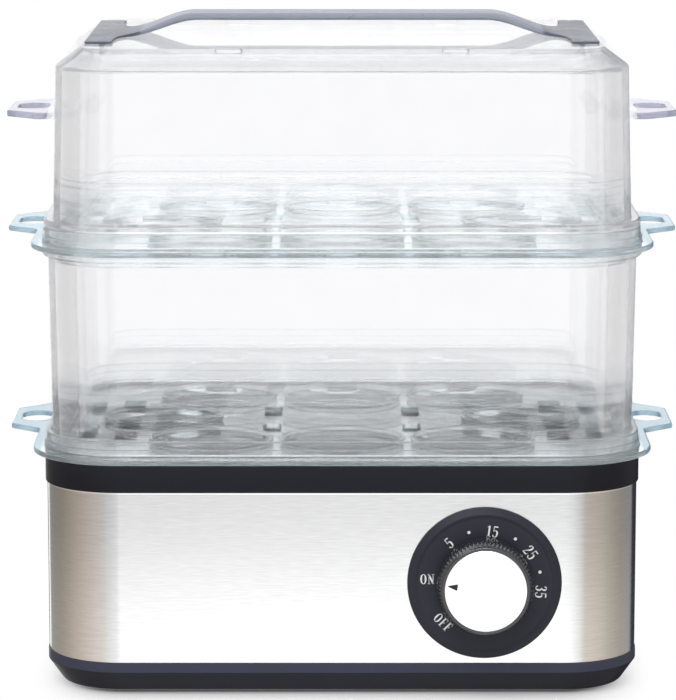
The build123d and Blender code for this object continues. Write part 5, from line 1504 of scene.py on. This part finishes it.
@dataclass
class Dial:
    """The black dial plate with its printed scale."""

    x: float = 47.0  # The axis from side to side
    z: float = 38.6  # The axis's height
    rim: Pair = (25.5, 0.5)  # Radius and height of the outer edge over the steel
    lip: Pair = (23.4, 2.5)  # Radius and height of the lip's crest
    face: Pair = (22.2, 2.2)  # Radius and height of the flat face
    spigot: Pair = (21.0, 2.4)  # Radius and depth of the spigot behind the plate
    bush: Pair = (3.9, 0.2)  # Radius of the bore for the timer's bush, and of its eased edges
    screw_x: float = 12.0  # How far the two screws stand from the axis
    screw: Triple = (2.9, 2.0, 1.75)  # Radius and depth of a screw's recess, and its hole's radius
    ease: float = 0.15  # Radius of the recesses' edges
    margin: Pair = (0.5, 0.8)  # How far the section runs on into the back and into the face
    # Points round the plate, round the bore and round a screw's hole
    steps: tuple[int, int, int] = (144, 48, 36)

    def __post_init__(self) -> None:
        """Takes the steel's front from the frame, and places the plate's axis."""
        self.steel = -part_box("steel_panel")[0].y / MM
        self.front = self.steel + self.face[1]
        self.back = self.steel - self.spigot[1]
        self.axis = front_axis(self.x, self.z)

    def section(self) -> Path:
        """The plate's section, from its back out over the rim and the lip to its face.

        Returns:
            The section.
        """
        corners = [
            (self.spigot[0] - self.margin[0], self.back), (self.spigot[0], self.back, 0.3),
            (self.spigot[0], self.steel, self.ease), (self.rim[0], self.steel, self.ease),
            (self.rim[0], self.steel + self.rim[1], 0.35), (self.lip[0], self.steel + self.lip[1], 0.5),
            (self.face[0], self.front, 0.6), (self.face[0] - self.margin[1], self.front),
        ]
        return filleted(corners)

    def screw_section(self) -> Path:
        """A screw's hole and recess, from the back, with offsets from the through hole.

        Returns:
            The section.
        """
        recess, depth, through = self.screw
        out, seat = through - recess, self.front - depth
        corners = [
            (0, self.back), (0, seat, 0.1), (out, seat, 0.2), (out, self.front, self.ease),
            (out - self.ease, self.front),
        ]
        return filleted(corners)

    def build(self) -> Piece:
        """Makes the plate's mesh, turned about the axis, with its three holes.

        Returns:
            The plate.
        """
        skin = Skin()
        plate_steps, bore_steps, hole_steps = self.steps
        rows = skin.sweep(circle(0, 0, plate_steps), self.section(), place=self.axis)
        radius, ease = self.bush
        bore = circle(0, 0, bore_steps, radius)
        holes = [cut_slot(skin, bore, self.back, self.front, ease, self.axis)]
        for side in (-1, 1):
            hole = circle(side * self.screw_x, 0, hole_steps, self.screw[2]).reversed()
            holes.append(skin.sweep(hole, self.screw_section(), place=self.axis))
        skin.close((0, -1, 0), rows, *holes)
        return skin.mesh("dial_face")


class Label(Enum):
    """The marks of the scale.

    Each has what it says, its angle and its turn in degrees, how far its middle is from the axis and
    its capitals' height, in millimetres. A mark that says nothing is a dot.
    """

    OFF = ("OFF", 223.3, -45.0, 18.8, 3.3)
    ON = ("ON", 174.9, 0.0, 19.0, 3.3)
    FIVE = ("5", 130.5, 40.5, 18.2, 3.6)
    TEN = ("", 107.0, 0.0, 18.2, 0.0)
    FIFTEEN = ("15", 82.3, -8.0, 17.9, 3.7)
    TWENTY = ("", 56.8, 0.0, 18.2, 0.0)
    TWENTY_FIVE = ("25", 35.6, -54.0, 18.4, 3.7)
    THIRTY = ("", 12.6, 0.0, 18.6, 0.0)
    THIRTY_FIVE = ("35", -7.9, -94.0, 18.7, 3.7)


@dataclass
class Letters:
    """Narrow serif capitals and figures, drawn with a broad pen.

    A stroke is a line of (x, y, half width) points in hundredths of a capital's height. It is either
    straight between its points or a smooth curve through them. Flat caps at both ends and a thin foot
    or head stroke make the serifs.
    """

    gap: float = 12  # Space between two letters
    steps: int = 6  # Points from one of a curve's own to the next

    WIDTHS = {"O": 62, "N": 66, "F": 54, "1": 42, "2": 50, "3": 50, "5": 50}
    BARS = {
        "N": [
            [(13, 0, 3), (13, 100, 3)], [(53, 0, 3), (53, 100, 3)], [(11, 97, 8.5), (55, 3, 8.5)],
            [(0, 2, 2.2), (26, 2, 2.2)], [(0, 98, 2.2), (20, 98, 2.2)], [(40, 98, 2.2), (66, 98, 2.2)],
        ],
        "F": [
            [(17, 0, 8), (17, 100, 8)], [(2, 98, 2.5), (52, 98, 2.5)], [(50, 100, 2.5), (50, 76, 1.2)],
            [(17, 52, 2.4), (40, 52, 2.4)], [(39, 62, 1.8), (39, 42, 1.8)], [(2, 2, 2.2), (36, 2, 2.2)],
        ],
        "1": [
            [(23, 0, 7.5), (23, 100, 7.5)], [(6, 84, 2), (24, 97, 5)], [(4, 2, 2.2), (42, 2, 2.2)],
        ],
        "2": [[(3, 6, 6), (42, 6, 6)], [(45, 0, 2), (48, 24, 2)]],
        "5": [[(12, 95, 5), (45, 95, 5)], [(11, 100, 2.6), (9, 50, 2.6)]],
    }
    CURVES = {
        "O": [[
            (31, 98, 2.6), (13, 82, 6), (9, 50, 8.5), (13, 18, 6), (31, 2, 2.6), (49, 18, 6),
            (53, 50, 8.5), (49, 82, 6), (31, 98, 2.6),
        ]],
        "2": [[
            (9, 72, 6), (12, 90, 3.5), (26, 97, 2.8), (40, 86, 7), (37, 62, 7), (20, 35, 3),
            (4, 6, 2.5),
        ]],
        "3": [[
            (8, 80, 5.5), (14, 93, 3.5), (27, 97, 2.8), (39, 84, 6.5), (35, 62, 5.5), (20, 53, 2.8),
        ], [
            (20, 53, 2.8), (36, 46, 5.5), (42, 27, 7.5), (35, 8, 5), (20, 2, 3), (9, 8, 4),
            (6, 20, 5.5),
        ]],
        "5": [[
            (9, 52, 2.6), (24, 61, 3), (38, 54, 6), (42, 33, 8), (36, 10, 5.5), (20, 2, 3),
            (8, 8, 4), (6, 20, 5.5),
        ]],
    }

    def curve(self, stroke: Sequence[Triple]) -> Array:
        """More points along a smooth curve through a stroke's points.

        Between two points it blends the parabola through the first three of the four nearest with the
        one through the last three, which is a Catmull-Rom curve.

        Args:
            stroke: The stroke's points. It is a ring if the first and the last agree.

        Returns:
            The curve's points.
        """
        held = np.array(stroke)
        ring = np.allclose(held[0], held[-1])
        ends = (held[-2:-1], held[1:2]) if ring else (held[:1], held[-1:])
        held = np.concatenate([ends[0], held, ends[1]])
        t = np.linspace(0, 1, self.steps, endpoint=False)[None, :, None]
        a, b, c, d = (held[k : len(held) - 3 + k, None] for k in range(4))
        run = (
            2 * b
            + (c - a) * t
            + (2 * a - 5 * b + 4 * c - d) * t**2
            + (3 * b - a - 3 * c + d) * t**3
        ) / 2
        return np.concatenate([run.reshape(-1, 3), held[-2:-1]])

    def ribbon(self, line: Array) -> tuple[Array, Array]:
        """A flat ribbon along a line, each of whose points steps aside by its half width, square to the
        line there.

        Args:
            line: Points as (x, y, half width).

        Returns:
            The ribbon's points, and its faces.
        """
        run = unit(np.gradient(line[:, :2], axis=0))
        aside = np.stack([-run[:, 1], run[:, 0]], 1) * line[:, 2:]
        points = np.concatenate([line[:, :2] - aside, line[:, :2] + aside])
        index = np.arange(len(line) - 1)[:, None]
        return points, index + [0, 1, len(line) + 1, len(line)]

    def word(self, text: str) -> tuple[Array, list[list[int]]]:
        """A word one unit high, with its middle at the origin.

        Args:
            text: The letters.

        Returns:
            The points and the faces.
        """
        points, faces, count, left = [], [], 0, 0.0
        for letter in text:
            lines = [np.array(bar) for bar in self.BARS.get(letter, [])]
            lines += [self.curve(stroke) for stroke in self.CURVES.get(letter, [])]
            for line in lines:
                shape, cells = self.ribbon(line)
                points.append(shape + (left, 0.0))
                faces += (cells + count).tolist()
                count += len(shape)
            left += self.WIDTHS[letter] + self.gap
        return np.concatenate(points) / 100 - ((left - self.gap) / 200, 0.5), faces


@dataclass
class DialScale:
    """The printed numbers, words and dots, a film on the dial's face."""

    dial: Dial
    dot: float = 0.52  # Radius of a dot
    dot_steps: int = 20  # Points round a dot
    film: float = 0.03  # Thickness of the ink

    def build(self) -> Piece:
        """Makes the marks' mesh, each turned and carried to its place on the face.

        Returns:
            The marks.
        """
        points, faces, count = [], [], 0
        letters = Letters()
        for label in Label:
            words, angle, turn, radius, height = label.value
            if words:
                shape, cells = letters.word(words)
                shape = shape * height
            else:
                shape = circle(0, 0, self.dot_steps, self.dot).points
                cells = [list(range(self.dot_steps))]
            flat = spun(shape, turn) + spun(np.array([radius, 0.0]), angle)
            levels = np.full((len(flat), 1), self.dial.front + self.film)
            points.append(carried(np.concatenate([flat, levels], 1), self.dial.axis))
            faces += [[corner + count for corner in one] for one in cells]
            count += len(flat)
        mesh = bpy.data.meshes.new("dial_marks")
        mesh.from_pydata((np.concatenate(points) * MM).tolist(), [], faces)
        piece = placed("dial_marks", mesh)
        depth = piece.modifiers.new("film", "SOLIDIFY")
        depth.thickness = self.film * MM
        depth.offset = -1.0
        return piece


@dataclass
class Knob:
    """The timer's knob: a finely ribbed black grip, a silver face and its pointer."""

    axis: Matrix  # The placement of the dial's axis
    radius: float = 16.0  # Radius of the skirt
    straight: float = 0.6  # Share of the length that is straight before it tapers
    shoulder: float = 6.0  # Radius of the bend into the taper
    face: float = 14.5  # Radius of the front
    cap: Pair = (13.6, 1.2)  # Radius and thickness of the silver face
    cap_gap: float = 0.02  # Gap round the silver face, and behind it
    cap_steps: int = 144  # Points round the silver face
    recess_margin: float = 1.0  # How far the skirt's section runs on under the silver face
    hub: Pair = (5.5, 3.0)  # Radius of the hub, and of the shaft's hole
    shaft_depth: float = 1.2  # How much deeper the shaft's hole is than the hollow
    hollow: Pair = (12.9, 3.4)  # Radius of the hollow behind the grip, and how much is left in front of it
    ribs: int = 72  # Number of ribs
    rib_steps: int = 10  # Points round each rib
    rib_depth: float = 0.32  # Depth of the grooves between them
    rib_shape: float = 1.5  # Power of the wave that makes them, which widens the ribs
    # Plain length at the back and the front, and the length of each fade
    rib_ends: tuple[Pair, Pair] = ((0.6, 0.6), (1.0, 1.2))
    # Angle of the pointer in degrees, its tip's radius, length and width
    pointer: Quad = (172.0, 12.8, 3.4, 2.2)
    edge: float = 0.15  # Radius of the small edges
    margin: float = 0.8  # How far a section runs on into the flat beside it
    # Gap round the inlay, how far it stands off its recess, and its edge
    inlay_edge: Triple = (0.02, 0.03, 0.1)

    def __post_init__(self) -> None:
        """Takes the grip's ends from the frame."""
        low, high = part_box("knob_grip")
        self.front, self.back = -low.y / MM, -high.y / MM

    def skirt(self) -> Path:
        """The grip's outer section, from its back over the taper into the cap's recess.

        Returns:
            The section.
        """
        taper = self.back + self.straight * (self.front - self.back)
        radius, depth = self.cap
        corners = [
            (self.radius - self.margin, self.back), (self.radius, self.back, 0.35),
            (self.radius, taper, self.shoulder), (self.face, self.front, 0.45),
            (radius, self.front, self.edge), (radius, self.front - depth, self.edge),
            (radius - self.recess_margin, self.front - depth),
        ]
        return filleted(corners, quarter=16)

    def inside(self) -> Path:
        """The section of the back, run from the shaft's hole out to the skirt. Outside is towards the
        back here, so it is turned about.

        Returns:
            The section.
        """
        hub, bore = self.hub
        hollow, left = self.hollow
        floor = self.front - left
        corners = [
            (bore, floor + self.shaft_depth), (bore, self.back, 0.2), (hub, self.back, 0.3),
            (hub, floor, 0.4), (hollow, floor, 0.4), (hollow, self.back, 0.3),
            (self.radius - self.margin, self.back),
        ]
        return filleted(corners).reversed()

    def grip(self) -> Piece:
        """Makes the grip. Its skirt's radius swings in and out with the angle.

        The swing is a rounded wave, a power of half of one less a cosine, at the number of the ribs. It
        fades out over the last bit at each end, so the rims stay round.

        Returns:
            The grip.
        """
        skin = Skin()
        steps = self.ribs * self.rib_steps
        turn = np.arange(steps) * 2 * pi / steps
        skirt = self.skirt()
        height = skirt.points[:, 1]
        (plain_back, fade_back), (plain_front, fade_front) = self.rib_ends
        fade = np.clip((height - self.back - plain_back) / fade_back, 0, 1)
        fade *= np.clip((self.front - plain_front - height) / fade_front, 0, 1)
        fade *= skirt.facing[:, 0] > 0.3
        wave, power = 0.5 - 0.5 * np.cos(turn * self.ribs), self.rib_shape
        slope = power / 2 * self.ribs * wave ** (power - 1) * np.sin(turn * self.ribs)
        drop = self.rib_depth * fade[:, None] * (wave**power)[None]
        lean = self.rib_depth * fade[:, None] * slope[None]
        radius = skirt.points[:, :1] - drop * skirt.facing[:, :1]
        level = height[:, None] - drop * skirt.facing[:, 1:]
        spoke = np.stack([np.cos(turn), np.sin(turn)], 1)
        tangent = np.stack([-np.sin(turn), np.cos(turn)], 1)
        points = np.concatenate([radius[:, :, None] * spoke[None], level[:, :, None]], 2)
        flat = skirt.facing[:, :1, None] * spoke[None]
        flat = flat + (lean / np.maximum(radius, 1.0))[:, :, None] * tangent[None]
        tilt = np.broadcast_to(skirt.facing[:, 1:, None], (*radius.shape, 1))
        facing = unit(np.concatenate([flat, tilt], 2))
        rows = carried(points, self.axis)
        skin.grid(rows, turned(facing, self.axis), wrap=True)
        inner = skin.sweep(circle(0, 0, steps), self.inside(), place=self.axis)
        skin.fill((0, 1, 0), inner[-1])
        skin.fill((0, -1, 0), rows[-1])
        return skin.mesh("knob_skirt")

    def wedge(self) -> Path:
        """The pointer's outline on the face, a slim wedge with its tip outwards.

        Returns:
            The outline.
        """
        angle, tip, length, width = self.pointer
        corners = np.array([(tip, 0.0), (tip - length, width / 2), (tip - length, -width / 2)])
        rounds = (self.edge, 0.2, 0.2)
        return filleted(np.column_stack([spun(corners, angle), rounds]), closed=True)

    def face_cap(self) -> Piece:
        """Makes the silver face, with a bevelled rim and the pointer's recess.

        Returns:
            The face.
        """
        skin = Skin()
        radius, thickness = (size - self.cap_gap for size in self.cap)
        back, floor = self.front - thickness, self.front - thickness / 2
        corners = [
            (radius - 0.6, back), (radius, back, 0.1), (radius, self.front, 0.3),
            (radius - self.margin, self.front),
        ]
        rows = skin.sweep(circle(0, 0, self.cap_steps), filleted(corners), place=self.axis)
        edge = self.inlay_edge[2]
        corners = [(0.5, floor), (0, floor), (0, self.front, edge), (-edge, self.front)]
        wall = filleted(corners).part(1, None)
        loops = skin.sweep(self.wedge().reversed(), wall, place=self.axis)
        skin.fill((0, -1, 0), rows[-1], loops[-1])
        skin.fill((0, -1, 0), loops[0])
        skin.fill((0, 1, 0), rows[0])
        return skin.mesh("knob_disc")

    def inlay(self) -> Piece:
        """Makes the pointer's inlay, a shallow wedge in its recess.

        Returns:
            The inlay.
        """
        skin = Skin()
        gap, lift, edge = self.inlay_edge
        floor = self.front - self.cap[1] / 2 + lift
        corners = [
            (-0.08, floor), (-gap, floor, 0.04), (-gap, self.front, edge), (-0.13, self.front),
        ]
        rows = skin.sweep(self.wedge(), filleted(corners), place=self.axis)
        skin.close((0, 1, 0), rows[::-1])
        return skin.mesh("knob_mark")


# ---- studio
@dataclass
class Room:
    """What the object stands in: white to the eye, and a room to its reflections."""

    ambient: float = 0.55  # Strength of the room as light
    glare: float = 1.3  # How much brighter it is in reflections
    # Its colour in thousandths, by degrees to the right of the front, which come first
    walls: tuple[Quad, ...] = (
        (-180, 1000, 1000, 1000), (-158, 1000, 1000, 1000), (-154, 282, 273, 254),
        (-128, 263, 244, 221), (-109, 296, 259, 221), (-94, 348, 305, 254),
        (-75, 442, 381, 329), (-58, 526, 461, 414), (-43, 583, 522, 484), (-28, 602, 573, 531),
        (-24, 639, 639, 639), (-8, 763, 763, 774), (-2.6, 986, 986, 991), (3.5, 986, 991, 996),
        (16, 922, 927, 933), (32, 696, 696, 677), (35, 583, 536, 484), (50, 564, 503, 442),
        (65, 498, 456, 395), (83, 399, 367, 310), (104, 320, 291, 259), (132, 282, 282, 282),
        (154, 282, 282, 291), (158, 1000, 1000, 1000), (180, 1000, 1000, 1000),
    )
    flag: Pair = (139.0, 172.0)  # Directions between which a black flag stands, for reflections alone
    flag_colour: Colour = (0.03, 0.03, 0.04)  # Its colour
    overhead: Pair = (0.55, 0.8)  # Upward share of a direction between which the walls turn white
    behind: float = 0.3  # How far back a direction points from which clear plastic sees white

    def paint(self, ramp: bpy.types.ColorRamp) -> None:
        """Gives a new ramp the walls' colours, with the front in its middle.

        Args:
            ramp: The ramp, with two stops.
        """
        for _ in self.walls[2:]:
            ramp.elements.new(1.0)
        for element, (angle, *colour) in zip(ramp.elements, self.walls):
            element.position = 0.5 + angle / 360
            element.color = (*(channel / 1000 for channel in colour), 1.0)

    def surround(self, graph: Graph, mirror: Signal) -> Signal:
        """The room's colour by compass direction, white overhead and, through clear plastic, behind.

        The direction is the arc tangent of sideways over forwards, as a share of a whole turn, with the
        front in the middle of the ramp and the back at both of its ends.

        Args:
            graph: The world's nodes.
            mirror: 1 for a ray that was mirrored, and 0 for any other.

        Returns:
            The colour.
        """
        where = graph.node("TexCoord")["Generated"]
        parts = graph.node("SeparateXYZ", {}, {0: where})
        turn = parts["X"].math("ARCTAN2", parts["Y"] * -1.0)
        share = turn * (0.5 / pi) + 0.5
        ramp = graph.node("ValToRGB", {}, {"Fac": share})
        self.paint(ramp.node.color_ramp)
        start, end = (radians(angle) for angle in self.flag)
        flagged = turn.math("GREATER_THAN", start) * turn.math("LESS_THAN", end)
        wall = graph.blended(flagged * mirror, ramp["Color"], (*self.flag_colour, 1.0))
        over = graph.smooth(parts["Z"], *self.overhead)
        beyond = (1.0 - mirror) * parts["Y"].math("GREATER_THAN", self.behind)
        return graph.blended(over.math("MAXIMUM", beyond), wall, (*WHITE, 1.0))

    def build(self) -> None:
        """Makes the world: white where it is seen, the room where it is mirrored or looked at through
        plastic, and softer as light.
        """
        world = bpy.data.worlds.new("studio")
        bpy.context.scene.world = world
        graph = Graph(world)
        rays = graph.node("LightPath")
        glossy = rays["Is Glossy Ray"]
        bounced = (glossy + rays["Is Transmission Ray"]).math("MINIMUM", 1.0)
        seen = (bounced + rays["Is Camera Ray"]).math("MINIMUM", 1.0)
        strength = seen * (1.0 - self.ambient) + self.ambient + glossy * (self.glare - 1.0)
        colour = graph.blended(bounced, (*WHITE, 1.0), self.surround(graph, glossy))
        sockets = {"Color": colour, "Strength": strength}
        light = graph.node("Background", {}, sockets)["Background"]
        graph.node("OutputWorld", {}, {"Surface": light})


@dataclass
class Floor:
    """A pale floor that keeps the shadow beside the object and is white further off."""

    half: float = 6.0  # Half its size, in metres
    # Half size and corner radius of the object's footprint, in metres
    footprint: Triple = (0.099, 0.0765, 0.026)
    # Distances from the footprint between which the floor turns white, in metres
    fade: Pair = (-0.014, 0.026)
    squash: float = 1.6  # How much faster it does so from side to side
    colour: Triple = (0.88, 0.9, 6.0)  # How dark and how light its mottling is, and the mottling's scale
    roughness: float = 0.6  # Its roughness
    specular: float = 0.2  # Its specular level

    def away(self, graph: Graph, where: Signal) -> Signal:
        """How far a place is from the footprint.

        That is the length of what its distance from the middle has over the footprint's half size less
        its corner radius, and then less that radius.

        Args:
            graph: The floor's nodes.
            where: The place.

        Returns:
            The distance, which is less than nothing inside.
        """
        half_x, half_y, corner = self.footprint
        core = (half_x - corner, half_y - corner, 0.0)
        out = graph.vector("ABSOLUTE", {0: where})
        out = graph.vector("SUBTRACT", {0: out, 1: core})
        out = graph.vector("MAXIMUM", {0: out, 1: (0.0, 0.0, 0.0)})
        out = graph.vector("MULTIPLY", {0: out, 1: (self.squash, 1.0, 1.0)})
        return graph.node("VectorMath", {"operation": "LENGTH"}, {0: out})["Value"] - corner

    def write(self, graph: Graph) -> None:
        """Writes the floor's nodes: a matt paint that glows white to the camera far off.

        Args:
            graph: The floor's nodes.
        """
        where = graph.node("TexCoord")["Object"]
        far = graph.smooth(self.away(graph, where), *self.fade)
        rays = graph.node("LightPath")
        seen = (rays["Is Camera Ray"] + rays["Is Transmission Ray"]).math("MINIMUM", 1.0)
        dark, light, scale = self.colour
        sockets = {
            "Base Color": graph.varied(graph.noise(where, scale), WHITE, dark, light),
            "Roughness": self.roughness,
            "Specular IOR Level": self.specular,
        }
        paint = graph.principled(sockets)
        glow = graph.node("Emission", {}, {"Color": (*WHITE, 1.0)})["Emission"]
        graph.finish(graph.mixed(far * seen, paint, glow))

    def build(self) -> None:
        """Makes the floor, which reflections don't see."""
        half = self.half
        corners = [(-half, -half, 0), (half, -half, 0), (half, half, 0), (-half, half, 0)]
        mesh = bpy.data.meshes.new("floor")
        mesh.from_pydata(corners, [], [(0, 1, 2, 3)])
        floor = placed("floor", mesh)
        floor.visible_glossy = False
        material = bpy.data.materials.new("floor")
        self.write(Graph(material))
        mesh.materials.append(material)


@dataclass
class Studio:
    """The camera and the lamp, with the room and the floor."""

    lens: float = 191.3  # Focal length of the camera
    eye: Triple = (0.0, -1.272, 0.3207)  # The camera's place, in metres
    pitch: float = 9.69  # How far the camera looks down, in degrees
    shift_x: float = -0.0057  # Sideways shift of the picture
    clip: Pair = (0.05, 50.0)  # How near and how far the camera sees, in metres
    lamp_place: Triple = (-0.25, -0.9, 1.35)  # Where the lamp stands, in metres
    lamp_size: Pair = (1.3, 0.9)  # Its width and height, in metres
    lamp_power: float = 14.0  # Its power, in watts
    lamp_target: Triple = (0.0, 0.0, 0.11)  # What it is aimed at, in metres

    def camera(self) -> None:
        """Makes the camera."""
        data = bpy.data.cameras.new("camera")
        data.lens = self.lens
        data.shift_x = self.shift_x
        data.clip_start, data.clip_end = self.clip
        camera = placed("camera", data)
        camera.location = self.eye
        camera.rotation_euler = (radians(90 - self.pitch), 0, 0)
        bpy.context.scene.camera = camera

    def lamp(self) -> None:
        """Makes the one soft rectangular lamp."""
        data = bpy.data.lights.new("key", "AREA")
        data.shape = "RECTANGLE"
        data.size, data.size_y = self.lamp_size
        data.energy = self.lamp_power
        lamp = placed("key", data)
        lamp.location = self.lamp_place
        aim = Vector(self.lamp_target) - Vector(self.lamp_place)
        lamp.rotation_euler = aim.to_track_quat("-Z", "Y").to_euler()

    def build(self) -> None:
        """Makes the whole studio."""
        bpy.context.scene.view_settings.view_transform = "Standard"
        self.camera()
        Room().build()
        self.lamp()
        Floor().build()


# ---- the whole scene
def ride(piece: Piece, body: str, *nodes: str) -> None:
    """Lets a piece move with its body, stand for its nodes, and be reported.

    Args:
        piece: The piece.
        body: The body that it moves with.
        nodes: The frame's nodes that it stands for.
    """
    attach(piece, body)
    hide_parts(*nodes)
    log.info("%s: %d faces, on %s", piece.name, len(piece.data.polygons), body)


def main() -> None:
    """Builds the scene round the frame."""
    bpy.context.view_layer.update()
    Studio().build()
    wardrobe = Wardrobe()
    wardrobe.dress_frame(frame["nodes"])
    plan, tab = Plan(), FingerTab()
    for name in ("lower_tray", "upper_tray"):
        ride(wardrobe.dress(Tray(name, plan, tab).build(), "tray_clear"), name, name)
    ride(wardrobe.dress(TierWall(plan).build(), "clear_plastic"), "tier_wall", "tier_wall")
    ride(wardrobe.dress(Lid(plan, tab).build(), "clear_plastic"), "lid", "lid_shell")
    ride(wardrobe.dress(LidHandle().build(), "handle_clear"), "lid", "lid_handle")
    dial = Dial()
    knob = Knob(dial.axis)
    steel = SteelFront(plan, (dial.x, dial.z)).build()
    ride(wardrobe.dress(steel, "brushed_steel"), "base", "steel_panel")
    ride(wardrobe.dress(dial.build(), "dial_plastic", "black_plastic"), "base", "dial_plate")
    ride(wardrobe.dress(DialScale(dial).build(), "dial_ink"), "base")
    ride(wardrobe.dress(knob.grip(), "knob_plastic", "black_plastic"), "knob", "knob_grip")
    ride(wardrobe.dress(knob.face_cap(), "knob_face"), "knob", "knob_cap")
    ride(wardrobe.dress(knob.inlay(), "pointer_black"), "knob", "knob_pointer")


if __name__ == "__main__":
    main()
